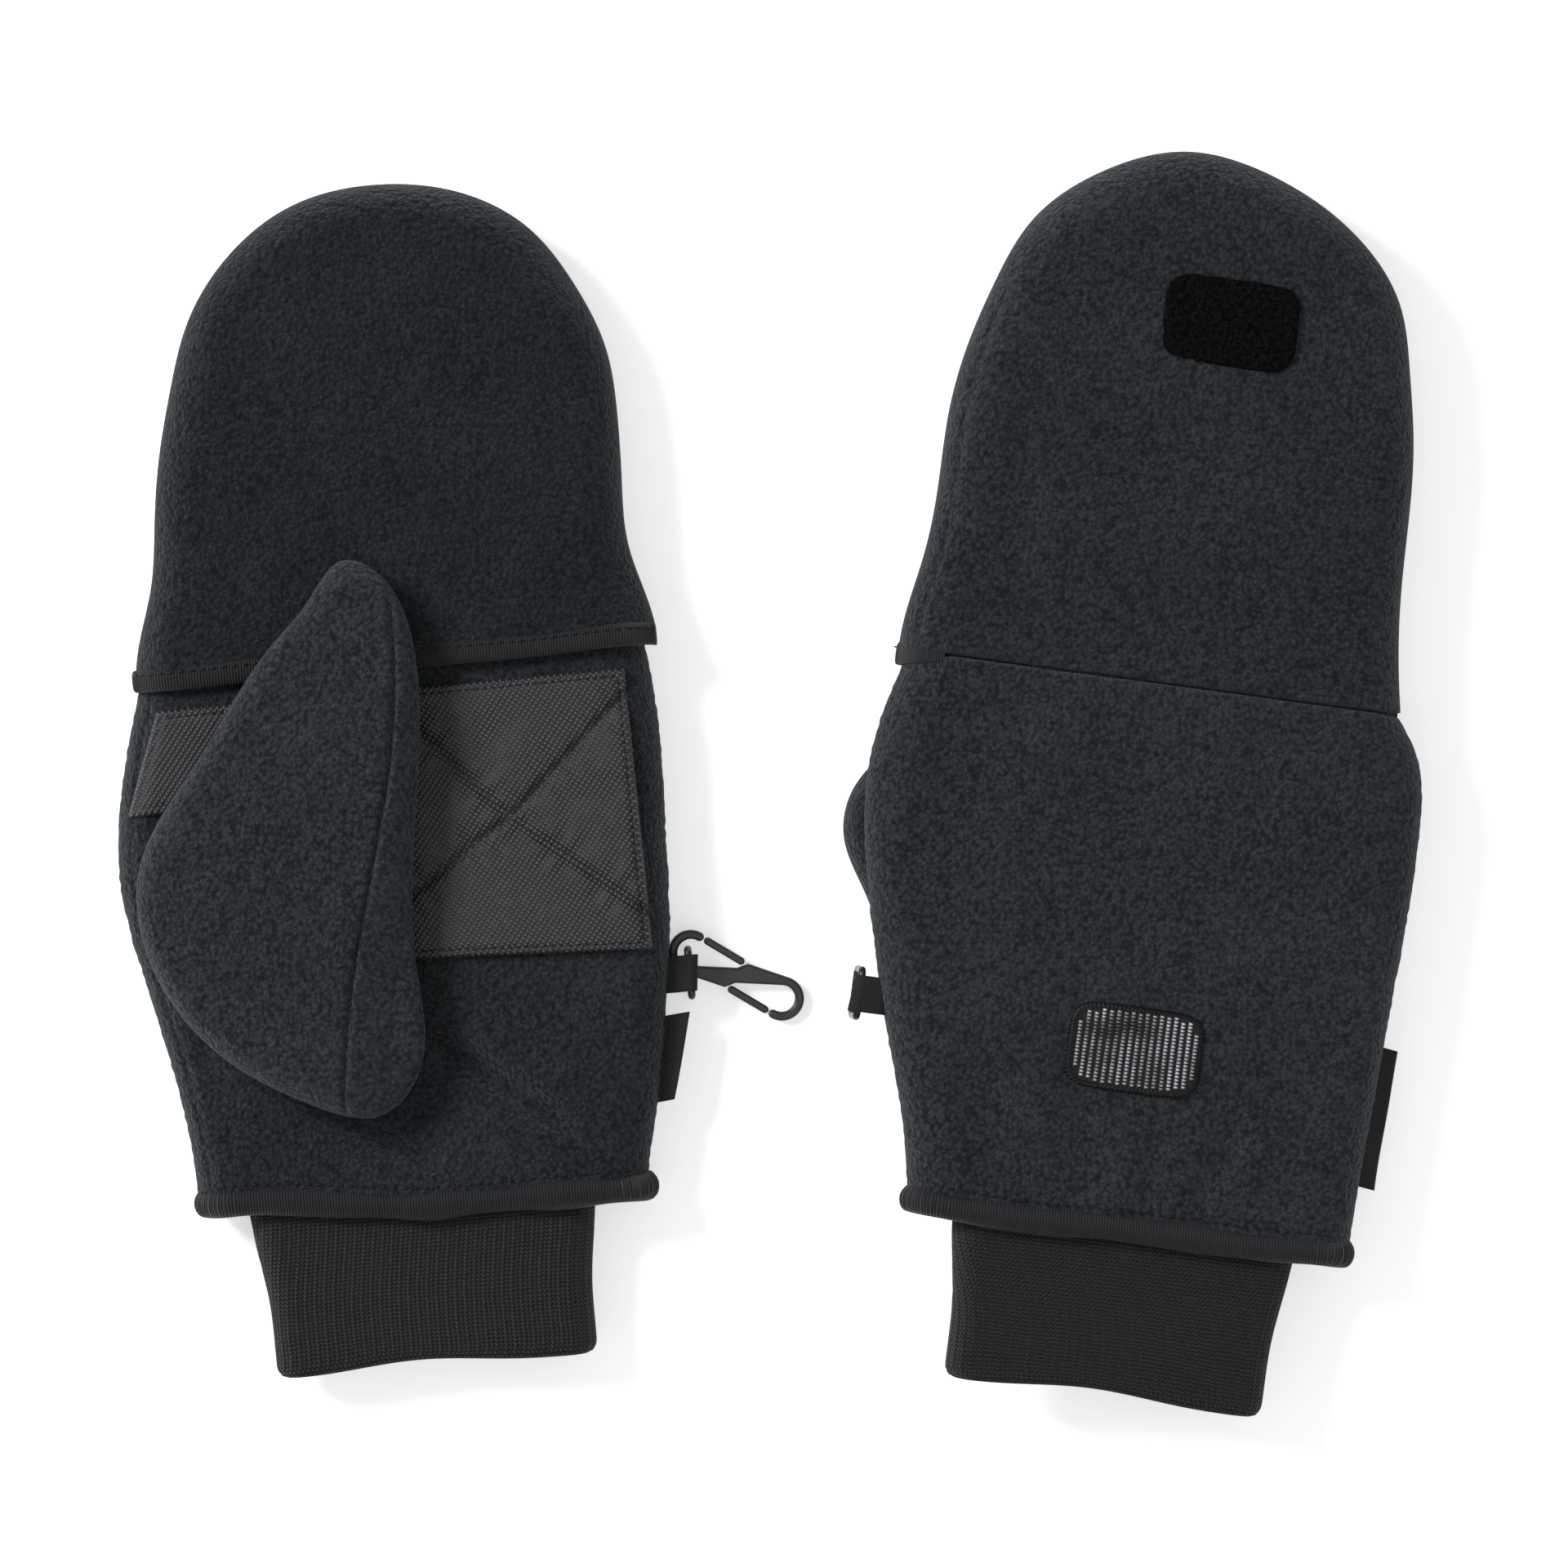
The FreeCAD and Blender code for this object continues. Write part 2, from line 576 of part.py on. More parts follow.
def thumb_shell(body, side):
    """A hollow thumb between the plane over the palm and its far plane."""
    up = HEIGHT[side]
    near = f"{up} * (Sizes.glove_thick + Sizes.patch_thick + Sizes.thumb_gap"
    level, grow_x, grow_y = thumb_far_plane(side)
    normal = Vector(-up * grow_x, -up * grow_y, 1).normalize()
    lean = Rotation(Vector(0, 0, 1), normal)
    for name, kind, wall in (("Outside", "AdditiveLoft", 0.0), ("Inside", "SubtractiveLoft", size("thumb_wall"))):
        edge = [spline(thumb_points(side, -wall), closed=True)]
        floor = new_sketch(body, name, edge, f"{near} + {wall})")
        roof = new_sketch(body, name, edge, f"{near} + {level - wall})", lean=lean)
        loft = body.newObject("PartDesign::" + kind, name + "Loft")
        loft.Profile = floor
        loft.Sections = [roof]
        loft.Ruled = True
        doc.recompute()


def left_of_seam(side, reach=300.0):
    """The region on the thumb side of the thumb's lengthwise seam."""
    shift_x, shift_y = THUMB_SHIFT[side]
    points = station([(u + shift_x, v + shift_y) for u, v in THUMB_SEAM], size("palm_width"), size("glove_length"))
    top, bottom = points[0], points[-1]
    far_top, far_bottom = Vector(top.x - reach, top.y, 0), Vector(bottom.x - reach, bottom.y, 0)
    return [
        spline(points),
        Part.LineSegment(bottom, far_bottom),
        Part.LineSegment(far_bottom, far_top),
        Part.LineSegment(far_top, top),
    ]


def right_of_seam(side):
    return left_of_seam(side, -300.0)


def thumb_split(side):
    """Height of the join between the thumb's two panels, over the side that faces the palm."""
    return "Sizes.thumb_wall + 0.8" if side == "right" else "Sizes.thumb_thick / 2 - 1.5"


def thumb_panels(side):
    up = HEIGHT[side] > 0
    near = "Sizes.glove_thick + Sizes.patch_thick + Sizes.thumb_gap"
    level = f"{HEIGHT[side]} * ({near} + {thumb_split(side)})"

    outer = new_body(f"{side}_thumb_outer_panel")
    thumb_shell(outer, side)
    beyond = new_sketch(outer, "PastSeam", right_of_seam(side), f"{HEIGHT[side]} * ({near} - 1)")
    extrude(outer, "SeamCut", "Pocket", beyond, "60", up)
    below = new_sketch(outer, "BelowSplit", rectangle(-200, -100, 200, 300), level)
    extrude(outer, "SplitCut", "Pocket", below, "60", not up)

    inner = new_body(f"{side}_thumb_inner_panel")
    thumb_shell(inner, side)
    above = new_sketch(inner, "OuterPanel", left_of_seam(side), level)
    extrude(inner, "PanelCut", "Pocket", above, "60", up)
    hole = new_sketch(inner, "ThumbWay", [thumb_hole(side)], f"{HEIGHT[side]} * ({near} - 1)")
    extrude(inner, "ThumbPocket", "Pocket", hole, "Sizes.thumb_wall + 1.1", up)

    for body in (outer, inner):
        body.Placement = thumb_placement(side)
    doc.recompute()


# ---------------------------------------------------------------- side seam trim
def side_x(side, edge, y):
    """Where a side of the glove body is, at a distance from the wrist hem."""
    points = body_points(side)[0 if edge == "thumb" else 1]
    after = next(i for i, p in enumerate(points) if p.y > y)
    a, b = points[after - 1], points[after]
    return a.x + (b.x - a.x) * (y - a.y) / (b.y - a.y)


def loop_edge(side):
    return "far" if side == "left" else "thumb"


def outward_of(side, edge):
    return 1 if edge == "far" else -1


def ring_centre(side):
    """Middle of the ring's upper wire, in the mitten's frame."""
    edge = loop_edge(side)
    y = size("webbing_place")
    fold = size("webbing_reach") - size("webbing_thick") - size("tunnel_play") - size("wire_r")
    x = side_x(side, edge, y) + outward_of(side, edge) * fold
    return Vector(x, y, HEIGHT[side] * size("glove_thick") / 2)


def webbing_root(side):
    """Where the hanging loop is sewn in, as an outline."""
    edge = loop_edge(side)
    half = size("webbing_width") / 2
    middle = size("webbing_place")
    x = side_x(side, edge, middle)
    reach = sorted((x - outward_of(side, edge) * size("seam_root"), x + outward_of(side, edge) * 3))
    return rectangle(reach[0], middle - half, reach[1], middle + half)


def webbing_loop(side):
    """A band folded round the ring's wire and sewn into the side seam."""
    body = new_body(f"{side}_webbing_loop")
    edge = loop_edge(side)
    wire = ring_centre(side)
    inner_r = size("wire_r") + size("tunnel_play")
    outer_r = inner_r + size("webbing_thick")
    out = outward_of(side, edge)
    root = side_x(side, edge, wire.y) - out * size("seam_root")
    place = "-(Sizes.webbing_place + Sizes.webbing_width / 2)"
    outline = new_sketch(body, "Band", fold_edges(root, wire, out, outer_r), place, "XZ_Plane")
    extrude(body, "Fold", "Pad", outline, "Sizes.webbing_width", True)
    slot = stadium(wire.x - out, wire.z, 2 * inner_r + 2, 2 * inner_r)
    inside = new_sketch(body, "Tunnel", slot, place, "XZ_Plane")
    extrude(body, "RingWay", "Pocket", inside, "Sizes.webbing_width", True)
    finish(body, side)


def fold_edges(root, wire, out, radius):
    """A band's section: square at the root and round about the wire."""
    corners = [Vector(root, wire.z - radius, 0), Vector(wire.x, wire.z - radius, 0)]
    corners += [Vector(wire.x, wire.z + radius, 0), Vector(root, wire.z + radius, 0)]
    return [
        Part.LineSegment(corners[0], corners[1]),
        Part.Arc(corners[1], Vector(wire.x + out * radius, wire.z, 0), corners[2]),
        Part.LineSegment(corners[2], corners[3]),
        Part.LineSegment(corners[3], corners[0]),
    ]


def wire_ring(side):
    """A rectangular wire ring, upright, whose upper wire lies in the hanging loop."""
    body = new_body(f"{side}_wire_ring")
    wire = ring_centre(side)
    radius = size("wire_r")
    length = size("ring_length") - 2 * radius
    height = size("ring_height") - 2 * radius
    corner = size("ring_corner")
    spine = rounded_rectangle(wire.y, wire.z - height / 2, length, height, corner)
    path = new_sketch(body, "Path", spine, str(wire.x), "YZ_Plane")
    circle = Part.Circle(Vector(wire.x, wire.z, 0), Vector(0, 0, 1), radius)
    section = new_sketch(body, "Section", [circle], str(-wire.y), "XZ_Plane")
    pipe = body.newObject("PartDesign::AdditivePipe", "Wire")
    pipe.Profile = section
    pipe.Spine = (path, [])
    doc.recompute()
    finish(body, side)


def label_edges(side):
    """The side label's outline, from its root in the seam."""
    near, length = size("label_end"), size("label_length_" + side)
    low, high = side_x(side, "far", near), side_x(side, "far", near + length)
    root, reach = size("seam_root"), size("label_reach")
    corners = [
        Vector(low - root, near, 0), Vector(low + reach - 0.8, near, 0),
        Vector(high + reach, near + length, 0), Vector(high - root, near + length, 0),
    ]
    return [Part.LineSegment(corners[i], corners[(i + 1) % 4]) for i in range(4)]


def side_label(side):
    """A folded cloth label sewn into the far side seam."""
    body = new_body(f"{side}_side_label")
    height = f"{HEIGHT[side]} * Sizes.glove_thick / 2 - Sizes.label_thick / 2"
    outline = new_sketch(body, "Outline", label_edges(side), height)
    extrude(body, "Label", "Pad", outline, "Sizes.label_thick", True)
    finish(body, side)


# ---------------------------------------------------------------- plastic clip
# The clip's own frame has its middle at 0 and its hooks along x. Half a turn about z carries it onto itself.
RING_IN_CLIP = Vector(-10.55, -4.5, 0)  # middle of the ring's opening, with the rear hook's rod passing through
WEB_OUTSIDE = Vector(1.3, 3.9, 0)
WEB_INSIDE = Vector(0.6, -1.75, 0)
HOOK_START_OUTSIDE = 102.0
HOOK_START_INSIDE = 114.0
HOOK_STOP = -92.0
HALF_TURN = FreeCAD.Placement(Vector(), Rotation(Vector(0, 0, 1), 180)).toMatrix()


def clip_placement():
    """From the clip's own frame to the table. The ring holds its rear hook."""
    wire = ring_centre("left")
    hang = size("ring_height") / 2 - size("wire_r")
    held = mitten_placement("left").multVec(Vector(wire.x, wire.y, wire.z - hang - 1.6))
    turn = Rotation(Vector(0, 0, 1), size("clip_turn")) * Rotation(Vector(0, 1, 0), size("clip_slope"))
    return FreeCAD.Placement(held - turn.multVec(RING_IN_CLIP), turn)


def on_hook(radius, degrees):
    """A point of the front hook's turn."""
    angle = math.radians(degrees)
    return Vector(size("clip_reach") + radius * math.cos(angle), radius * math.sin(angle), 0)


def hook_heading():
    """Direction in which the front hook's tip points."""
    angle = math.radians(HOOK_STOP)
    return Vector(math.sin(angle), -math.cos(angle), 0)


def gate_line():
    """Root and tip of the front gate's middle line. The rear gate is the same, turned half round."""
    room = size("gate_gap") + size("gate_rod") / 2
    edge = WEB_INSIDE + WEB_OUTSIDE  # from the web's outer corner on the rear side to its inner corner
    away = Vector(edge.y, -edge.x, 0).normalize()
    root = (WEB_INSIDE - WEB_OUTSIDE) * 0.5 + away * room
    tip = on_hook(size("clip_bend"), HOOK_STOP) + hook_heading() * (size("clip_rod") / 2 + room)
    return root, tip


def rod(start, end, width):
    """A straight rod's outline with round ends."""
    along = (end - start).normalize()
    across = Vector(-along.y, along.x, 0) * (width / 2)
    return [
        Part.LineSegment(start + across, end + across),
        Part.Arc(end + across, end + along * (width / 2), end - across),
        Part.LineSegment(end - across, start - across),
        Part.Arc(start - across, start - along * (width / 2), start + across),
    ]


def clip_solid(name, outline, height, thick, rounding, placed):
    body = new_body(name)
    made = new_sketch(body, "Outline", outline, height)
    pad = extrude(body, "Plate", "Pad", made, thick, True)
    rounded = round_edges(body, "EdgeRound", pad, rounding, lambda e: e.BoundBox.ZLength < 1e-4)
    body.Tip = rounded
    body.Placement = placed
    doc.recompute()


def clip_frame():
    """Two hooks joined by a web: a moulded plate with rounded edges."""
    half = size("clip_rod") / 2
    outer_r, inner_r = size("clip_bend") + half, size("clip_bend") - half
    tip = on_hook(size("clip_bend"), HOOK_STOP) + hook_heading() * half
    front = [
        Part.LineSegment(WEB_OUTSIDE, on_hook(outer_r, HOOK_START_OUTSIDE)),
        Part.Arc(on_hook(outer_r, HOOK_START_OUTSIDE), on_hook(outer_r, 0), on_hook(outer_r, HOOK_STOP)),
        Part.Arc(on_hook(outer_r, HOOK_STOP), tip, on_hook(inner_r, HOOK_STOP)),
        Part.Arc(on_hook(inner_r, HOOK_STOP), on_hook(inner_r, 0), on_hook(inner_r, HOOK_START_INSIDE)),
        Part.LineSegment(on_hook(inner_r, HOOK_START_INSIDE), WEB_INSIDE),
        Part.LineSegment(WEB_INSIDE, WEB_OUTSIDE * -1),
    ]
    rear = [edge.copy() for edge in front]
    for edge in rear:
        edge.transform(HALF_TURN)
    clip_solid("clip_frame", front + rear, "-Sizes.clip_thick / 2", "Sizes.clip_thick", "Sizes.clip_edge", clip_placement())


def clip_gate(name, turned):
    root, tip = gate_line()
    if turned:
        root, tip = root * -1, tip * -1
    outline = rod(root, tip, size("gate_rod"))
    clip_solid(name, outline, "-Sizes.clip_thick / 2 + 0.2", "Sizes.clip_thick - 0.4", "Sizes.clip_edge - 0.1", clip_placement())


# ---------------------------------------------------------------- build
def mitten(side):
    seam = size("glove_length")
    glove_panel(side, "back_panel", -1)
    glove_panel(side, "palm_panel", 1)
    palm_patch(side)
    finger_stalls(side)
    cap_panel(side, "cap_back_panel", -1, seam + size("seam_gap"))
    cap_panel(side, "cap_palm_panel", 1, seam - size("hem_overlap") + size("binding_width"))
    cap_binding(side)
    closure_patch(side, "loop_patch", size("closure_reach"))
    closure_patch(side, "hook_patch", -size("closure_reach"))
    wrist_piping(side)
    knit_cuff(side)
    thumb_panels(side)
    webbing_loop(side)
    wire_ring(side)
    side_label(side)


def export():
    """Writes each sub-part, once every object of the document is sound."""
    for item in doc.Objects:
        if {"Invalid", "Error"} & set(item.State):
            raise RuntimeError(f"{item.Label} failed: {item.State}")
    os.makedirs("parts", exist_ok=True)
    for body in (item for item in doc.Objects if item.TypeId == "PartDesign::Body"):
        shape = body.Shape
        if shape.isNull() or not shape.isValid() or shape.Volume <= 0:
            raise RuntimeError(f"{body.Label} has no sound shape")
        shape.exportStep(f"parts/{body.Label}.step")


def report_axes():
    """Prints the joint axes on the table, for the record."""
    for side in ("left", "right"):
        place = mitten_placement(side)
        up = HEIGHT[side]
        fold = Vector(0, size("glove_length"), -up * size("fold_rise"))
        print(side, "cap fold", place.multVec(fold), place.Rotation.multVec(Vector(1, 0, 0)))
        point, along, _ = thumb_hinge(side)
        print(side, "thumb fold", place.multVec(point), place.Rotation.multVec(along))
        print(side, "ring wire", place.multVec(ring_centre(side)), place.Rotation.multVec(Vector(0, 1, 0)))
    clip = clip_placement()
    print("clip", clip.multVec(RING_IN_CLIP), clip.Rotation.multVec(Vector(0, 0, 1)))
    root, _ = gate_line()
    print("front gate", clip.multVec(root), "rear gate", clip.multVec(root * -1))


mitten("left")
mitten("right")
clip_frame()
clip_gate("clip_front_gate", False)
clip_gate("clip_rear_gate", True)
export()
report_axes()
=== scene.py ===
"""Looks for a pair of convertible flip-top fleece mittens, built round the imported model.

Each mitten has its own flat frame in millimetres: x across the palm, y from the wrist hem towards the
finger tips, and a depth that starts at 0 on the outside of the back and grows towards the palm.
"""

import json
import math

import bmesh
import bpy
import numpy as np
from mathutils import Matrix, Vector


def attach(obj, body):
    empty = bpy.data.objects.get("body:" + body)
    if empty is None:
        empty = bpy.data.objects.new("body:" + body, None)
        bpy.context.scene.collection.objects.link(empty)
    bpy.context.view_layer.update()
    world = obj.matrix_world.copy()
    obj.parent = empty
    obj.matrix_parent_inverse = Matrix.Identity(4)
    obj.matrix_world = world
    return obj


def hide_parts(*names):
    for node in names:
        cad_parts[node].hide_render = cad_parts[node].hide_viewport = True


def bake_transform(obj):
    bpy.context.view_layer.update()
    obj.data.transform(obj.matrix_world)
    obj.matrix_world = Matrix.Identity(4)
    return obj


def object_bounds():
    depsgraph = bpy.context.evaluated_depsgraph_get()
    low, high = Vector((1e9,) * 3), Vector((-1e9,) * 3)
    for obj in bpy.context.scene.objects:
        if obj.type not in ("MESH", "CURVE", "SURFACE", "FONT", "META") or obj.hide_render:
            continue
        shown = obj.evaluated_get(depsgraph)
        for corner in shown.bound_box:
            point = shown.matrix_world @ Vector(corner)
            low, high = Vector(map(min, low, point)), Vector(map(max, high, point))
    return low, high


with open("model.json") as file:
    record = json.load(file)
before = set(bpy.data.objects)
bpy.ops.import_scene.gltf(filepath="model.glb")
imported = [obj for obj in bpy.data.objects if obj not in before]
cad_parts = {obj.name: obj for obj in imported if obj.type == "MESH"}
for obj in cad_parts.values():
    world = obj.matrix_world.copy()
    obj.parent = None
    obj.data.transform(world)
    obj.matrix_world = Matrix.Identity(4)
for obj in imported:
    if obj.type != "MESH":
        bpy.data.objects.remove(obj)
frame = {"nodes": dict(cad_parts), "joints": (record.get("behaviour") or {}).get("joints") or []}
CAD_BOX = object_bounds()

bl_info = {
    "name": "Flip-Top Mittens",
    "version": (1, 0, 0),
    "blender": (4, 5, 0),
    "location": "3D View > Sidebar > Mittens",
    "description": "Builds the fleece, knit, patches and trim of a pair of flip-top mittens",
    "category": "Object",
}

SIDES = ("left", "right")
UP = {"left": 1, "right": -1}  # the right mitten is turned over
FINGERS = ("index", "middle", "ring", "little")
MM = 0.001
GLOVE_ROUND = 9.6  # how far in from its side the glove reaches its full thickness, mm
CAP_ROUND = 10.5  # the same for the cap
THUMB_FLOOR = 21.2  # depth at which the thumb begins, over the palm
CLOSURE_REACH = 89  # from the cap's seam to either closure patch, so that they meet when it opens
GUSSET_RADIUS = 13.5  # of the soft tube between the palm and the thumb
FOLD_RISE = 1.7  # the cap's fold line outside the back

# Outlines, as shares of the palm's width across and of a length along.
GLOVE_SIDES = {
    "left": (
        [(-.42, .03), (-.428, .15), (-.452, .30), (-.485, .455), (-.51, .606), (-.50, .758), (-.467, .90),
         (-.437, 1.0)],
        [(.41, .03), (.437, .15), (.463, .30), (.485, .455), (.4925, .606), (.4985, .758), (.495, .90), (.484, 1.0)],
    ),
    "right": (
        [(-.414, .03), (-.44, .15), (-.487, .30), (-.53, .455), (-.568, .62), (-.584, .758), (-.566, .90),
         (-.537, 1.0)],
        [(.409, .03), (.412, .15), (.42, .30), (.427, .455), (.436, .62), (.4375, .80), (.415, .93), (.369, 1.0)],
    ),
}
CAP_EDGE = {
    "left": [(-.45, -.03), (-.44, .05), (-.404, .19), (-.386, .33), (-.366, .47), (-.334, .61), (-.292, .745),
             (-.20, .885), (-.075, .975), (.075, 1.0), (.22, .97), (.34, .885), (.422, .745), (.466, .61),
             (.476, .47), (.473, .33), (.474, .19), (.504, .05), (.515, -.03)],
    "right": [(-.556, -.03), (-.553, .05), (-.532, .18), (-.522, .33), (-.52, .46), (-.503, .58), (-.467, .71),
              (-.416, .83), (-.30, .94), (-.145, 1.0), (.03, .97), (.175, .89), (.276, .77), (.311, .645),
              (.334, .52), (.344, .40), (.348, .24), (.362, .09), (.383, -.03)],
}
THUMB_EDGE = {
    "left": [(-.036, 1.182), (-.105, 1.117), (-.18, 1.04), (-.335, .84), (-.46, .645), (-.452, .47), (-.339, .292),
             (-.184, .188), (-.06, .16), (.012, .23), (.026, .42), (.05, .70), (.077, .925), (.066, 1.07),
             (.018, 1.158)],
    "right": [(-.17, 1.22), (-.239, 1.155), (-.314, 1.078), (-.469, .878), (-.588, .73), (-.592, .65), (-.532, .535),
              (-.462, .37), (-.318, .226), (-.194, .198), (-.122, .268), (-.108, .458), (-.084, .738), (-.057, .963),
              (-.068, 1.108), (-.116, 1.196)],
}
THUMB_SEAM = [(.03, 1.3), (.041, 1.12), (.041, 1.0), (-.009, .704), (-.089, .407), (-.125, .17), (-.14, 0.0)]
THUMB_HOLE = (-.25, .40)
THUMB_SHIFT = {"left": (0.0, 0.0), "right": (-.134, .038)}
# How far the rolled wrist hem strays from a straight line, across the palm in mm.
HEM_WAVE = {
    "left": [(-62, 2.8), (-52, 2.5), (-30, 1.2), (-4, -2.2), (25, -2.6), (50, -2.8), (62, -2.8)],
    "right": [(-62, .2), (-52, 0.0), (-34, -.9), (-2, -.4), (29, -.6), (50, -.1), (62, 0.0)],
}
# Quilting on the grip patch: the crossing and the four ends of its seams, in mm.
QUILT_CROSS = (29.0, 90.1)
QUILT_ENDS = [(59.8, 117.8), (61.6, 62.4), (-4.0, 69.0), (6.0, 115.0)]


def mm_size(name, metres, words):
    return bpy.props.FloatProperty(
        name=name, description=words, default=metres, min=0.0, subtype="DISTANCE", unit="LENGTH")


def shade(name, level, words):
    return bpy.props.FloatVectorProperty(
        name=name, description=words, default=tuple(((v / 255 + .055) / 1.055) ** 2.4 for v in level),
        size=3, min=0.0, max=1.0, subtype="COLOR")


class MittenSizes(bpy.types.PropertyGroup):
    """Sizes of the fleece, the knit and the trim."""

    palm_width: mm_size("Palm width", .134, "Widest palm of the flattened glove")
    glove_length: mm_size("Glove length", .132, "Wrist hem to the seam that carries the cap")
    glove_thick: mm_size("Glove thickness", .020, "Outside thickness of the glove")
    fleece_wall: mm_size("Fleece", .0033, "Thickness of the fleece")
    cap_left: mm_size("Left cap", .1155, "Seam to the tip of the left cap")
    cap_right: mm_size("Right cap", .130, "Seam to the tip of the right cap")
    cap_thick: mm_size("Cap thickness", .0237, "Outside thickness of the cap")
    binding_width: mm_size("Binding", .0056, "Width of the cap's bound hem")
    piping_width: mm_size("Rolled hem", .0070, "Width of the rolled wrist hem")
    rib_pitch: mm_size("Ribs", .00072, "One rib of the binding and the rolled hem")
    cuff_length: mm_size("Cuff", .041, "Knit cuff below the wrist hem")
    cuff_thick: mm_size("Cuff thickness", .012, "Outside thickness of the knit cuff")
    thumb_thick: mm_size("Thumb", .0145, "Thickness of the left thumb at its root")
    thumb_taper: mm_size("Thumb taper", .0035, "How much thinner the thumb is at its tip")
    thumb_lean: bpy.props.FloatProperty(
        name="Thumb lean", description="How far the thumb leans away from the palm",
        default=math.radians(2.8), subtype="ANGLE", unit="ROTATION")
    closure_width: mm_size("Closure width", .033, "Hook and loop patches, across")
    closure_height: mm_size("Closure height", .021, "Hook and loop patches, along the glove")
    stitch: mm_size("Stitch", .0026, "One stitch and the gap after it")


class MittenColours(bpy.types.PropertyGroup):
    """Colours of the cloths and the plastic."""

    fleece: shade("Fleece", (37, 41, 44), "Body, cap and thumb")
    patch: shade("Grip patch", (56, 56, 60), "Embossed grip fabric on the palm")
    knit: shade("Rib knit", (24, 24, 24), "Cuffs and finger stalls")
    binding: shade("Binding", (19, 20, 24), "Cap hem and rolled wrist hem")
    thread: shade("Thread", (9, 10, 12), "Stitches")
    # Hooks: a painted highlight, lighter than the hooks themselves, for the reflections on the glossy hooks.
    hook: shade("Hooks", (104, 103, 108), "Hook patches")
    loop: shade("Loops", (8, 8, 8), "Loop patches")
    webbing: shade("Webbing", (33, 33, 33), "Hanging loops")
    label: shade("Label", (36, 37, 37), "Side labels")
    plastic: shade("Clip", (38, 38, 38), "Moulded clip")
    wire: shade("Ring", (60, 60, 61), "Wire rings")
    floor: shade("Floor", (250, 250, 250), "Table under the mittens")


def sizes(name):
    """A size in millimetres."""
    return getattr(bpy.context.scene.mitten_sizes, name) / MM


def colour(name, gain=1.0):
    return tuple(min(1.0, c * gain) for c in getattr(bpy.context.scene.mitten_colours, name))


# ---------------------------------------------------------------- curves and fields
def smooth_line(points, count, closed=False):
    """Points spaced evenly along a natural cubic spline through the given ones."""
    p = np.array(points, float)
    if closed:
        p = np.vstack([p[-4:], p, p[:5]])
    t = np.r_[0, np.cumsum(np.linalg.norm(np.diff(p, axis=0), axis=1))]
    h = np.diff(t)
    n = len(t)
    system, right = np.eye(n), np.zeros_like(p)
    for i in range(1, n - 1):
        system[i, i - 1:i + 2] = h[i - 1], 2 * (h[i - 1] + h[i]), h[i]
        right[i] = 6 * ((p[i + 1] - p[i]) / h[i] - (p[i] - p[i - 1]) / h[i - 1])
    bend = np.linalg.solve(system, right)
    low, high = (t[4], t[-5]) if closed else (t[0], t[-1])
    s = np.linspace(low, high, 1600)
    k = np.clip(np.searchsorted(t, s) - 1, 0, n - 2)
    a, b, w = (t[k + 1] - s)[:, None], (s - t[k])[:, None], h[k][:, None]
    fine = (bend[k] * a ** 3 + bend[k + 1] * b ** 3) / (6 * w) \
        + (p[k] / w - bend[k] * w / 6) * a + (p[k + 1] / w - bend[k + 1] * w / 6) * b
    return along_line(fine, np.linspace(0, 1, count))


def along_line(line, shares):
    """Points at shares of a polyline's length."""
    run = np.r_[0, np.cumsum(np.linalg.norm(np.diff(line, axis=0), axis=1))]
    where = np.asarray(shares) * run[-1]
    return np.stack([np.interp(where, run, line[:, i]) for i in range(line.shape[1])], -1)


def away_from(x, y, line, reach=1e9):
    """Distance of each point from a polyline."""
    best = np.full(np.shape(x), reach, float)
    for (ax, ay), (bx, by) in zip(line[:-1, :2], line[1:, :2]):
        dx, dy = bx - ax, by - ay
        t = np.clip(((x - ax) * dx + (y - ay) * dy) / max(dx * dx + dy * dy, 1e-9), 0, 1)
        best = np.minimum(best, np.hypot(x - ax - t * dx, y - ay - t * dy))
    return best


def moved_in(line, distance):
    """A polyline moved to the right of its direction of travel."""
    way = np.gradient(line, axis=0)
    way /= np.linalg.norm(way, axis=1)[:, None]
    return line + np.stack([way[:, 1], -way[:, 0]], -1) * distance


def swell(x, y, seed, low, high, waves=9):
    """Soft cloth unevenness, about -1 to 1, from waves between two lengths in mm."""
    draw = np.random.RandomState(seed)
    total = np.zeros(np.shape(x))
    for _ in range(waves):
        angle, length, shift = draw.uniform(0, math.tau), draw.uniform(low, high), draw.uniform(0, math.tau)
        total += np.sin((x * math.cos(angle) + y * math.sin(angle)) * math.tau / length + shift)
    return total / math.sqrt(waves)


def crease(x, y, start, end, width, depth, lip=.45):
    """A furrow between two points, with a raised lip on both sides."""
    (ax, ay), (bx, by) = start, end
    dx, dy = bx - ax, by - ay
    length = math.hypot(dx, dy)
    t = ((x - ax) * dx + (y - ay) * dy) / length ** 2
    off = ((x - ax) * dy - (y - ay) * dx) / length
    ends = np.exp(-np.clip(np.abs(t - .5) - .34, 0, None) ** 2 / .03)
    return depth * ends * (np.exp(-(off / width) ** 2) - lip * np.exp(-((np.abs(off) - 2.1 * width) / width) ** 2))


def roundover(d, radius):
    """0 at the edge, 1 from a radius inside it, along a quarter circle."""
    return np.sqrt(np.clip(1 - (1 - np.clip(d / radius, 0, 1)) ** 2, 0, 1))


def spaced(count, low, high, share=.6):
    """Numbers from low to high, closer together at both ends."""
    q = np.linspace(0, 1, count)
    return low + (high - low) * ((1 - share) * q + share * (1 - np.cos(np.pi * q)) / 2)


# ---------------------------------------------------------------- the mittens' frames
def joint(name):
    return next(j for j in frame["joints"] if j["name"] == name)


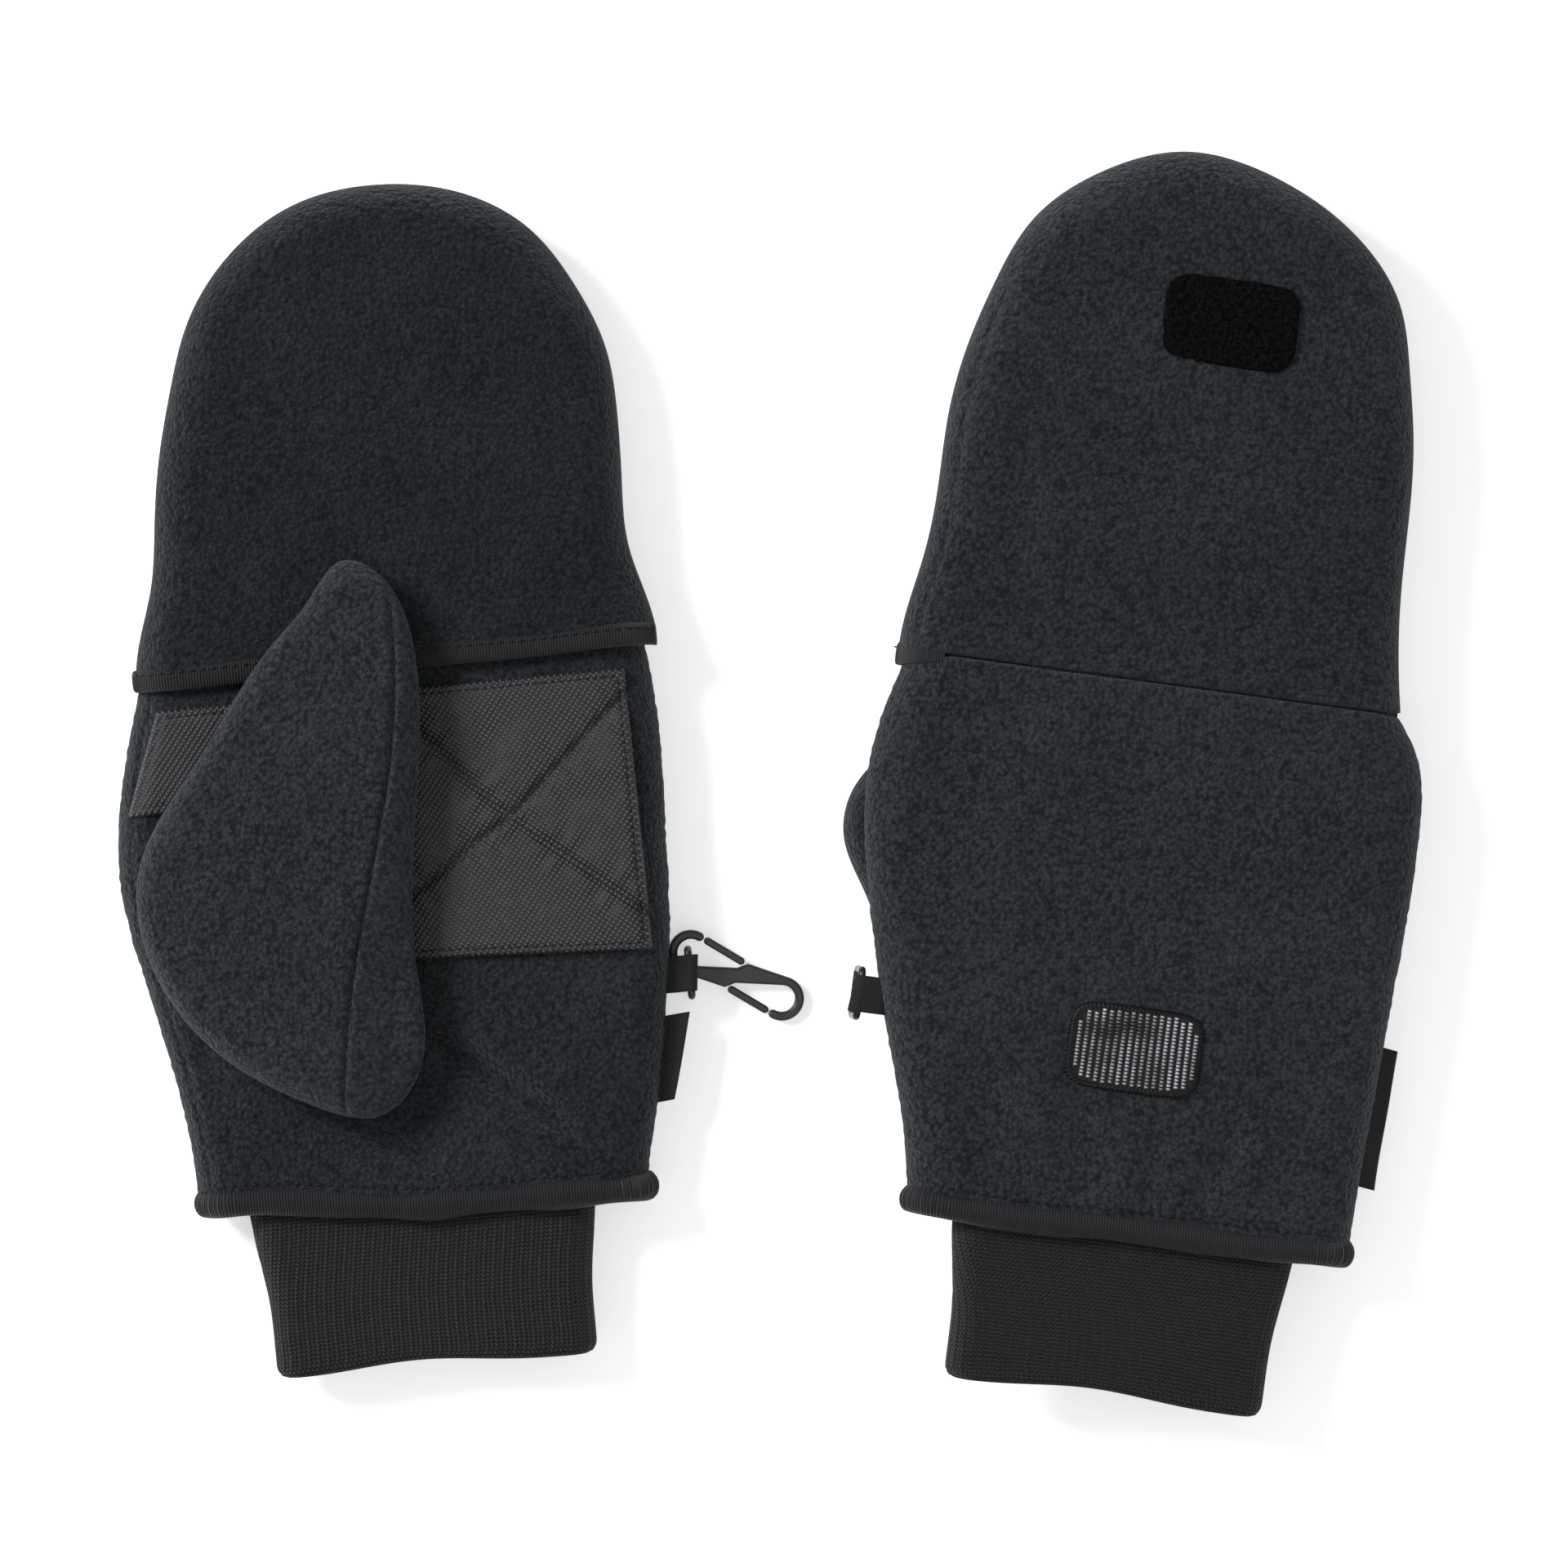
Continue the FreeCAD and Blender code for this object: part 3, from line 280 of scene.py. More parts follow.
def mitten_axes(side):
    """Origin and the three directions of a mitten's frame, from its two fold lines."""
    fold = joint(side + "_cap_fold")
    across = Vector(fold["axis"]).normalized()
    across = across if across.x > 0 else -across
    up = across.cross(Vector(joint(side + "_thumb_fold")["axis"])).normalized()
    up = up if up.z > 0 else -up
    along = up.cross(across)
    origin = Vector(fold["pos_m"]) - along * (132 * MM) + up * (UP[side] * FOLD_RISE * MM)
    return origin, across, along, up


def to_row(side, points):
    """Points of a mitten's frame (x, y, depth in mm) in the row frame, in metres."""
    origin, across, along, up = (np.array(v) for v in mitten_axes(side))
    p = np.asarray(points, float).reshape(-1, 3) * MM
    return origin + p[:, :1] * across + p[:, 1:2] * along + UP[side] * p[:, 2:] * up


def thumb_to_row(side, points):
    """The same for the thumb, which leans away from the palm about its fold line."""
    fold = joint(side + "_thumb_fold")
    pivot, axis = Vector(fold["pos_m"]), Vector(fold["axis"]).normalized()
    _, _, _, up = mitten_axes(side)
    row = to_row(side, points)
    middle = Vector(row.mean(axis=0)) - pivot
    lean = bpy.context.scene.mitten_sizes.thumb_lean
    if (axis.cross(middle)).dot(up) * UP[side] < 0:
        lean = -lean
    turn = np.array(Matrix.Rotation(lean, 3, axis))
    return (row - np.array(pivot)) @ turn.T + np.array(pivot)


# ---------------------------------------------------------------- meshes
class Cloth:
    """Gathers grids of points in a mitten's frame into one mesh with a UV map in millimetres."""

    def __init__(self):
        self.points, self.faces, self.corners, self.count = [], [], [], 0

    def add(self, points, uv=None, ring_rows=False, ring=False, turned=False):
        """A grid whose faces look along columns x rows. ring joins the last column to the first."""
        rows, cols = points.shape[:2]
        r, c = np.arange(rows + ring_rows) % rows, np.arange(cols + ring) % cols
        index = r[:, None] * cols + c + self.count
        if uv is None:
            uv = points[r][:, c][..., :2]

        def four(grid):
            return np.stack([grid[:-1, :-1], grid[:-1, 1:], grid[1:, 1:], grid[1:, :-1]], 2)

        faces, corners = four(index).reshape(-1, 4), four(uv).reshape(-1, 4, 2)
        if turned:
            faces, corners = faces[:, ::-1], corners[:, ::-1]
        self.points.append(points.reshape(-1, 3))
        self.faces.append(faces)
        self.corners.append(corners)
        self.count += rows * cols

    def thread(self, start, end, radius, out):
        """One stitch: a short rounded thread from start to end, whose top looks along out."""
        start, end, out = np.array(start, float), np.array(end, float), np.array(out, float)
        way = end - start
        length = np.linalg.norm(way)
        way = way / max(length, 1e-6)
        out = out - way * (out @ way)
        out /= np.linalg.norm(out)
        flank = np.cross(out, way)
        angle = np.arange(6) * math.tau / 6
        ring = np.cos(angle)[:, None] * flank + np.sin(angle)[:, None] * out
        grid = [start + way * length * s + out * rise + ring * radius * r
                for s, r, rise in ((0, 0, -.1), (.1, .65, 0), (.5, 1, .05), (.9, .65, 0), (1, 0, -.1))]
        self.add(np.array(grid), ring=True)

    def finish(self, name, side, material, place=to_row, smooth=True):
        faces, corners = np.vstack(self.faces), np.vstack(self.corners)
        if UP[side] < 0:
            faces, corners = faces[:, ::-1], corners[:, ::-1]
        mesh = bpy.data.meshes.new(name)
        mesh.from_pydata(place(side, np.vstack(self.points)).tolist(), [], faces.tolist())
        layer = mesh.uv_layers.new(name="UVMap")
        layer.data.foreach_set("uv", np.ascontiguousarray(corners, np.float32).ravel())
        work = bmesh.new()
        work.from_mesh(mesh)
        bmesh.ops.remove_doubles(work, verts=work.verts, dist=3e-7)
        bmesh.ops.dissolve_degenerate(work, edges=work.edges, dist=1e-9)
        work.to_mesh(mesh)
        work.free()
        mesh.polygons.foreach_set("use_smooth", [smooth] * len(mesh.polygons))
        piece = bpy.data.objects.new(name, mesh)
        bpy.context.scene.collection.objects.link(piece)
        mesh.materials.append(material)
        return piece


def settle(piece, body, slot, *nodes):
    """Rides a piece on its body and hides the model's parts that it replaces."""
    if nodes:
        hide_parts(*nodes)
    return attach(piece, body)


# ---------------------------------------------------------------- materials
class Finish:
    """A node material, written as a chain of small steps."""

    def __init__(self, name, base, roughness, **sockets):
        name = "look_" + name
        self.material = bpy.data.materials.get(name)
        self.fresh = self.material is None
        if not self.fresh:
            return
        self.material = bpy.data.materials.new(name)
        self.material.use_nodes = True
        self.material.diffuse_color = (*base, 1)
        self.tree = self.material.node_tree
        self.shader = self.tree.nodes["Principled BSDF"]
        self.shader.inputs["Base Color"].default_value = (*base, 1)
        self.shader.inputs["Roughness"].default_value = roughness
        for socket, value in sockets.items():
            self.shader.inputs[socket].default_value = value
        self.coords = self.tree.nodes.new("ShaderNodeTexCoord")

    def node(self, kind, links=(), **settings):
        made = self.tree.nodes.new("ShaderNode" + kind)
        for key, value in settings.items():
            setattr(made, key, value)
        for socket, value in dict(links).items():
            if isinstance(value, bpy.types.NodeSocket):
                self.tree.links.new(value, made.inputs[socket])
            else:
                made.inputs[socket].default_value = value
        return made

    def math(self, operation, a, b=0.0):
        return self.node("Math", {0: a, 1: b}, operation=operation).outputs[0]

    def noise(self, scale, detail=3.0, roughness=.55, place="Object"):
        return self.node("TexNoise", {
            "Vector": self.coords.outputs[place], "Scale": scale, "Detail": detail,
            "Roughness": roughness}).outputs["Fac"]

    def cells(self, scale, place="Object", feature="F1"):
        return self.node("TexVoronoi", {"Vector": self.coords.outputs[place], "Scale": scale},
                         feature=feature).outputs["Distance"]

    def axes(self, place="UV", turn=0.0):
        turned = self.node("Mapping", {"Vector": self.coords.outputs[place], "Rotation": (0, 0, turn)})
        return self.node("SeparateXYZ", {0: turned.outputs[0]}).outputs

    def waves(self, value, pitch, shift=0.0):
        """A sine of a coordinate, 0 to 1."""
        turn = self.math("MULTIPLY_ADD", value, math.tau / pitch)
        turn.node.inputs[2].default_value = shift
        return self.math("MULTIPLY_ADD", self.math("SINE", turn), .5)

    def spread(self, value, low, high, start=0.0, end=1.0):
        ends = {"Value": value, "From Min": start, "From Max": end, "To Min": low, "To Max": high}
        return self.node("MapRange", ends).outputs[0]

    def mix(self, share, first, second):
        made = self.node("Mix", data_type="RGBA")
        for socket, value in ((0, share), (6, first), (7, second)):
            if isinstance(value, bpy.types.NodeSocket):
                self.tree.links.new(value, made.inputs[socket])
            else:
                made.inputs[socket].default_value = value if socket == 0 else (*value, 1)
        return made.outputs[2]

    def paint(self, value):
        self.tree.links.new(value, self.shader.inputs["Base Color"])

    def rough(self, value):
        self.tree.links.new(value, self.shader.inputs["Roughness"])

    def bump(self, height, distance, strength=1.0):
        before = self.shader.inputs["Normal"].links
        links = {"Height": height, "Distance": distance, "Strength": strength}
        if before:
            links["Normal"] = before[0].from_socket
        self.tree.links.new(self.node("Bump", links).outputs[0], self.shader.inputs["Normal"])


def fleece_finish(name="fleece", gain=1.0):
    base = colour("fleece", gain)
    f = Finish(name, base, .95, **{
        "Specular IOR Level": .08, "Sheen Weight": .22, "Sheen Roughness": .5, "Sheen Tint": (.6, .66, .7, 1)})
    if f.fresh:
        pebble, pile, grain = f.cells(880), f.noise(820, 3, .6), f.noise(2100, 3, .6)
        mottle, cloud = f.noise(260, 3), f.noise(34, 2)
        height = f.math("ADD", f.math("MULTIPLY", pile, .65), f.math("MULTIPLY", pebble, -.35))
        tone = f.math("ADD", f.math("MULTIPLY", height, 1.0), f.math("MULTIPLY", grain, .35))
        tone = f.math("ADD", tone, f.math("MULTIPLY", mottle, .22))
        tone = f.math("ADD", tone, f.math("MULTIPLY", cloud, .16))
        f.paint(f.mix(f.spread(tone, 0, 1, .36, .76), tuple(c * .30 for c in base), tuple(c * 1.75 for c in base)))
        f.bump(height, .0016, 1.0)
        f.bump(grain, .0005, .7)
        f.bump(mottle, .0018, .4)
    return f.material


def fleece_of(side, part):
    """The fleece of one part, a little lighter or darker than the base colour: painted light and shade, one fleece lit
    or shaded for each part.
    """
    # Painted light and shade: the left thumb and the right mitten's parts are lightened, and the left cap is darkened.
    gain = {"left_glove": 1.0, "left_cap": .70, "left_thumb": 1.3,
            "right_glove": 1.38, "right_cap": 1.22, "right_thumb": 1.1}[f"{side}_{part}"]
    return fleece_finish(f"fleece_{side}_{part}", gain)


def grip_finish():
    base = colour("patch")
    f = Finish("grip_fabric", base, .45, **{"Specular IOR Level": .6})
    if f.fresh:
        place = f.axes("UV", math.radians(38))
        a, b = f.waves(place["X"], 1.18), f.waves(place["Y"], 1.02)
        dots = f.math("MULTIPLY", a, b)
        fine = f.noise(3200, 2)
        tone = f.math("ADD", dots, f.spread(f.noise(420, 3), -.18, .18))
        f.paint(f.mix(f.spread(tone, 0, 1, .05, .62), tuple(c * .14 for c in base), tuple(c * 2.1 for c in base)))
        f.rough(f.spread(dots, .62, .33))
        f.bump(dots, .00045, 1.0)
        f.bump(fine, .0001, .5)
    return f.material


def knit_finish(name, gain, wale, course):
    """Rows of V stitches, from the UV map."""
    base = colour("knit", gain)
    f = Finish(name, base, .93, **{"Specular IOR Level": .12, "Sheen Weight": .15, "Sheen Roughness": .5})
    if f.fresh:
        place = f.axes()
        column = f.math("ADD", place["X"], f.spread(f.noise(160, 2), -.25, .25))
        lean = f.math("ABSOLUTE", f.math("SUBTRACT", f.math("FRACT", f.math("DIVIDE", column, wale)), .5))
        row = f.math("ADD", place["Y"], f.math("MULTIPLY", lean, course * 1.0))
        row = f.math("ADD", row, f.spread(f.noise(90, 2), -.4, .4))
        stitch, rib = f.waves(row, course), f.waves(column, wale)
        height = f.math("ADD", f.math("MULTIPLY", stitch, .72), f.math("MULTIPLY", rib, .28))
        fuzz = f.noise(2300, 3)
        tone = f.math("ADD", f.math("MULTIPLY", height, .7), f.math("MULTIPLY", fuzz, .6))
        f.paint(f.mix(f.spread(tone, 0, 1, .42, .90), tuple(c * .03 for c in base), tuple(c * 3.0 for c in base)))
        f.bump(height, .0007, 1.0)
        f.bump(fuzz, .0003, .6)
    return f.material


def ribbed_finish():
    base = colour("binding")
    f = Finish("binding", base, .62, **{"Specular IOR Level": .35, "Sheen Weight": .12, "Sheen Roughness": .45})
    if f.fresh:
        place = f.axes()
        rib = f.waves(place["X"], sizes("rib_pitch"), math.pi / 2)
        fuzz = f.noise(2400, 3)
        tone = f.math("ADD", f.math("MULTIPLY", rib, .7), f.math("MULTIPLY", fuzz, .5))
        f.paint(f.mix(f.spread(tone, 0, 1, .2, 1.0), tuple(c * .35 for c in base), tuple(c * 1.9 for c in base)))
        f.bump(rib, .00028, .8)
        f.bump(fuzz, .0002, .5)
    return f.material


def thread_finish(name="thread", gain=1.0):
    base = colour("thread", gain)
    f = Finish(name, base, .5, **{"Specular IOR Level": .35})
    if f.fresh:
        twist = f.noise(3500, 2)
        f.paint(f.mix(twist, tuple(c * .5 for c in base), tuple(c * 1.6 for c in base)))
        f.bump(twist, .0001, .5)
    return f.material


def woven_finish(name, base, pitch, gloss):
    """A plain weave from the UV map, for webbing and labels."""
    f = Finish(name, base, gloss, **{"Specular IOR Level": .25})
    if f.fresh:
        place = f.axes()
        weft, warp = f.waves(place["X"], pitch), f.waves(place["Y"], pitch)
        check = f.math("ADD", f.math("MULTIPLY", weft, .5), f.math("MULTIPLY", warp, .5))
        fuzz = f.noise(2800, 2)
        tone = f.math("ADD", f.math("MULTIPLY", check, .7), f.math("MULTIPLY", fuzz, .4))
        f.paint(f.mix(f.spread(tone, 0, 1, .2, .9), tuple(c * .5 for c in base), tuple(c * 1.6 for c in base)))
        f.bump(check, .00018, .8)
        f.bump(fuzz, .0001, .5)
    return f.material


def loop_finish():
    base = colour("loop")
    f = Finish("loop_tape", base, .97, **{"Specular IOR Level": .06})
    if f.fresh:
        tuft, fibre = f.noise(900, 4, .7), f.cells(1500)
        tone = f.math("ADD", f.math("MULTIPLY", tuft, .7), f.math("MULTIPLY", fibre, .5))
        f.paint(f.mix(f.spread(tone, 0, 1, .4, .9), tuple(c * .2 for c in base), tuple(min(1, c * 4.0) for c in base)))
        f.bump(tuft, .0009, .9)
        f.bump(fibre, .0004, .7)
    return f.material


def hook_finish(name="hook_tape", gain=1.0, gloss=.2):
    base = colour("hook", gain)
    f = Finish(name, base, gloss, **{"Specular IOR Level": .8, "Coat Weight": .5, "Coat Roughness": .1})
    if f.fresh:
        # Painted highlights and painted shade: large blotches, light and dark across the patch, stand in for the
        # glossy hooks' reflections. The roughness is lower where the painted highlights are.
        glare_patches = f.noise(95, 3)
        dark, light = tuple(c * .12 for c in base), tuple(min(1, c * 3.4) for c in base)
        f.paint(f.mix(f.spread(glare_patches, 0, 1, .36, .60), dark, light))
        f.rough(f.spread(glare_patches, gloss * 1.5, gloss * .8))
        f.bump(f.noise(1500, 2), .00012, .4)
    return f.material


def moulded_finish():
    base = colour("plastic")
    f = Finish("clip_plastic", base, .36, **{"Specular IOR Level": .5})
    if f.fresh:
        grain, scuff = f.noise(2600, 3), f.noise(220, 4, .65)
        f.paint(f.mix(f.spread(scuff, 0, 1, .3, .7), tuple(c * .8 for c in base), tuple(c * 1.25 for c in base)))
        f.rough(f.spread(scuff, .26, .44, .3, .7))
        f.bump(grain, .00005, .6)
    return f.material


def wire_finish():
    base = colour("wire")
    f = Finish("ring_wire", base, .3, **{"Metallic": .7, "Specular IOR Level": .5})
    if f.fresh:
        wear = f.noise(700, 4, .6)
        dark, light = tuple(c * .55 for c in base), tuple(min(1, c * 1.7) for c in base)
        f.paint(f.mix(f.spread(wear, 0, 1, .35, .65), dark, light))
        f.rough(f.spread(wear, .2, .4, .3, .7))
        f.bump(f.noise(1800, 2), .00003, .4)
    return f.material


# ---------------------------------------------------------------- shapes of the glove
def glove_sides(side, y, grow=0.0):
    """x of the thumb side and of the far side at each y."""
    found = []
    for way, table in zip((-1, 1), GLOVE_SIDES[side]):
        line = smooth_line([(u * sizes("palm_width"), v * sizes("glove_length")) for u, v in table], 240)
        low, high = line[0] - (line[3] - line[0]) * 9, line[-1] + (line[-1] - line[-4]) * 9
        line = np.vstack([low, line, high])
        found.append(np.interp(y, line[:, 1], line[:, 0]) + way * grow)
    return found


def hem_wave(side, x):
    line = smooth_line(HEM_WAVE[side], 120)
    return np.interp(x, line[:, 0], line[:, 1])


def palm_relief(side, x, y):
    """Creases and softness of the palm, as extra depth."""
    relief = .35 * swell(x, y, 11, 24, 60)
    if side == "left":
        relief -= crease(x, y, (1, 41.5), (35.8, 13.2), 3.4, 2.5, .3)
        relief -= crease(x, y, (-23, 22.5), (5.0, 6.0), 2.8, 1.8, .3)
        relief -= crease(x, y, (-52, 44), (-46, 12), 3.5, .5)
    return relief


def back_relief(side, x, y):
    relief = .4 * swell(x, y, 23, 26, 70)
    if side == "right":
        for foot, top, width, depth in (((-14, 4), (-22, 62), 4.5, .9), ((2, 4), (1, 26), 2.6, .55),
                                        ((14, 4), (22, 30), 2.8, .6), ((-34, 4), (-44, 40), 4.0, .5),
                                        ((33, 5), (38, 44), 3.4, .45)):
            relief -= crease(x, y, foot, top, width, depth)
    return relief


def pile(x, y, seed):
    """The fleece's fine unevenness, in mm."""
    return .085 * swell(x, y, seed, 1.7, 3.4, 14)


def glove_half(x, left, right, wall=0.0):
    d = np.minimum(x - left, right - x)
    return (sizes("glove_thick") / 2 - wall) * roundover(d, GLOVE_ROUND - wall)


def palm_depth(side, x, y):
    """Depth of the palm's outside."""
    left, right = glove_sides(side, y)
    middle = sizes("glove_thick") / 2
    half = glove_half(x, left, right)
    return middle + half + palm_relief(side, x, y) * half / middle


def back_depth(side, x, y):
    left, right = glove_sides(side, y)
    middle = sizes("glove_thick") / 2
    half = glove_half(x, left, right)
    return middle - half - back_relief(side, x, y) * half / middle


def tube_rows(side, shares, columns, wall=0.0, end=131.4):
    """Rings of points of the glove's tube, palm first and then back."""
    q = spaced(columns, 0, 1)
    rings = []
    middle = sizes("glove_thick") / 2
    for share in shares:
        y = np.full(columns, 3.0 + (end - 3.0) * share)
        left, right = glove_sides(side, y, -wall)
        x = left + (right - left) * q
        start = hem_wave(side, x) + 2.6
        y = start + (end - start) * share
        left, right = glove_sides(side, y, -wall)
        x = left + (right - left) * q
        half = glove_half(x, left, right, wall)
        soft = half / middle
        palm = middle + half + (palm_relief(side, x, y) + (pile(x, y, 31) if wall == 0 else 0)) * soft
        back = middle - half - (back_relief(side, x, y) + (pile(x, y, 37) if wall == 0 else 0)) * soft
        if side == "left" and wall == 0:
            palm -= .55 * soft * np.exp(-((x - left - 4.2) / .7) ** 2)
        x = x + (.12 * swell(y, y * .3, 5, 1.8, 4, 10) * (1 - soft) if wall == 0 else 0)
        rings.append(np.vstack([np.stack([x, y, palm], -1), np.stack([x, y, back], -1)[-2:0:-1]]))
    return np.array(rings)


def build_glove(side):
    outer = tube_rows(side, np.linspace(0, 1, 150), 170)
    inner = tube_rows(side, np.linspace(1, 0, 16), 170, sizes("fleece_wall"))
    top = (outer[-1] + inner[0]) / 2 + (0, .5, 0)
    bottom = (outer[0] + inner[-1]) / 2 - (0, .5, 0)
    cloth = Cloth()
    cloth.add(np.concatenate([outer, top[None], inner, bottom[None]]), ring_rows=True, ring=True)
    piece = cloth.finish(side + "_glove_shell", side, fleece_of(side, "glove"))
    return settle(piece, "gloves", "fleece", side + "_back_panel", side + "_palm_panel")


# ---------------------------------------------------------------- cap
def cap_outline(side, grow=0.0, count=420):
    width, foot, length = sizes("palm_width"), sizes("glove_length"), sizes("cap_" + side)
    line = smooth_line([(u * width, foot + v * length) for u, v in CAP_EDGE[side]], count)
    return moved_in(line, -grow)


def corners(line, closed=False):
    """Where an outline turns from side to top, as two indices (or four, round a closed one)."""
    low, high = line.min(0), line.max(0)
    p = (line - (low + high) / 2) / (high - low)
    ways = ((-1, -1), (-1, 1), (1, 1), (1, -1)) if closed else ((-1, 1), (1, 1))
    return [int(np.argmax(p @ np.array(way))) for way in ways]


def patch_between(left, right, bottom, top, us, vs):
    """A four-sided patch of points between its edges."""
    l, r, b, t = (along_line(edge, s) for edge, s in ((left, vs), (right, vs), (bottom, us), (top, us)))
    u, v = us[None, :, None], vs[:, None, None]
    flat = (1 - v) * b[None] + v * t[None] + (1 - u) * l[:, None] + u * r[:, None]
    flat -= (1 - u) * (1 - v) * b[0] + u * (1 - v) * b[-1] + (1 - u) * v * t[0] + u * v * t[-1]
    flat[:, 0], flat[:, -1], flat[0], flat[-1] = l, r, b, t
    return flat


def cap_plan(side, hem, us, vs, grow=0.0):
    """Flat points of the cap from its hem to its tip, and how far each is from the edge."""
    line = cap_outline(side, grow)
    keep = line[line[:, 1] > hem]
    first = line[np.argmax(line[:, 1] > hem) - 1]
    last_i = len(line) - np.argmax(line[::-1, 1] > hem)
    last = line[min(last_i, len(line) - 1)]

    def at_hem(a, b):
        t = (hem - a[1]) / (b[1] - a[1]) if abs(b[1] - a[1]) > 1e-9 else 0
        return a + (b - a) * t

    line = np.vstack([at_hem(first, keep[0]), keep, at_hem(keep[-1], last)])
    i, j = corners(line)
    plan = patch_between(line[:i + 1], line[j:][::-1], np.array([line[0], line[-1]]), line[i:j + 1], us, vs)
    tails = np.array([[line[0][0], hem - 40]]), np.array([[line[-1][0], hem - 40]])
    whole = np.vstack([tails[0], line[::3], line[-1:], tails[1]])
    off = away_from(plan[..., 0], plan[..., 1], whole)
    off[:, 0] = off[:, -1] = off[-1] = 0
    return plan, off


def cap_surfaces(side, hem, us, vs, wall=0.0):
    plan, off = cap_plan(side, hem, us, vs, -wall)
    x, y = plan[..., 0], plan[..., 1]
    middle = sizes("cap_thick") / 2
    half = (middle - wall) * roundover(off, CAP_ROUND - wall)
    soft = half / middle
    palm, back = np.zeros_like(x), np.zeros_like(x)
    if wall == 0:
        palm = .5 * swell(x, y, 41, 26, 64) + pile(x, y, 43)
        back = .5 * swell(x, y, 47, 28, 70) + pile(x, y, 53)
        # The back dips a little along the fold seam.
        lift = np.exp(-np.clip(y - hem, 0, None) / 9.0)
        back -= .15 * lift
        if side == "right":
            left_edge = np.interp(y, *cap_side(side).T[::-1])
            back -= .85 * np.exp(-((x - left_edge - 3.1) / .75) ** 2) * np.exp(-np.clip(y - 215, 0, None) / 9)
            back -= crease(x, y, (-46, 138), (-52, 182), 3.4, .45)
        else:
            palm -= crease(x, y, (-20, 148), (16, 172), 6.0, .55)
            palm -= crease(x, y, (18, 140), (44, 170), 5.0, .4)
    return x, y, middle + half + palm * soft, middle - half - back * soft


def cap_side(side):
    """The thumb-side edge of the cap, from the hem upwards."""
    line = cap_outline(side)
    line = line[:int(np.argmax(line[:, 1]))]
    return line[np.concatenate([[True], np.diff(line[:, 1]) > 0])]


def build_cap(side):
    hem = sizes("glove_length") + .9
    cloth = Cloth()
    us = spaced(190, 0, 1)
    outer = cap_surfaces(side, hem, us, spaced(150, 0, 1, .35))
    inner = cap_surfaces(side, hem, us, np.linspace(0, 1, 24), sizes("fleece_wall"))
    sheets = []
    for (x, y, palm, back), inside in ((outer, False), (inner, True)):
        palm, back = np.stack([x, y, palm], -1), np.stack([x, y, back], -1)
        cloth.add(palm, turned=inside)
        cloth.add(back, turned=not inside)
        sheets.append((palm[0], back[0]))
    for k in (0, 1):
        a, b = sheets[0][k], sheets[1][k]
        cloth.add(np.array([a, (a + b) / 2 - (0, .55, 0), b]), turned=(k == 0))
    piece = cloth.finish(side + "_cap_shell", side, fleece_of(side, "cap"))
    return settle(piece, side + "_cap", "fleece", side + "_cap_back_panel", side + "_cap_palm_panel")


def build_fold(side):
    """The turned seam allowance under the cap's seam."""
    length = sizes("glove_length")
    ys = np.linspace(length - 2.6, length + 2.8, 26)
    q = spaced(120, 0, 1)
    cloth = Cloth()
    layers = []
    for sunk in (1.5, 3.0):
        rows = []
        for y in ys:
            left, right = glove_sides(side, np.full(120, y), -.5)
            x = left + (right - left) * q
            half = (sizes("glove_thick") / 2) * roundover(np.minimum(x - left, right - x), GLOVE_ROUND)
            rows.append(np.stack([x, np.full(120, y), 10 - np.clip(half - sunk, 0, None) * .995], -1))
        layers.append(np.array(rows))
    outer, inner = layers
    loop = np.concatenate([outer, inner[:, ::-1]], axis=1)
    cloth.add(loop[:, ::-1], ring=True)
    for k, turned in ((0, False), (-1, True)):
        cloth.add(np.array([outer[k], inner[k]]), turned=not turned)
    # Painted shade: the glove's fleece at half brightness, for the hollow under the cap's seam.
    piece = cloth.finish(side + "_cap_fold_strip", side, fleece_finish("seam_fleece", .5))
    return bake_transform(piece)


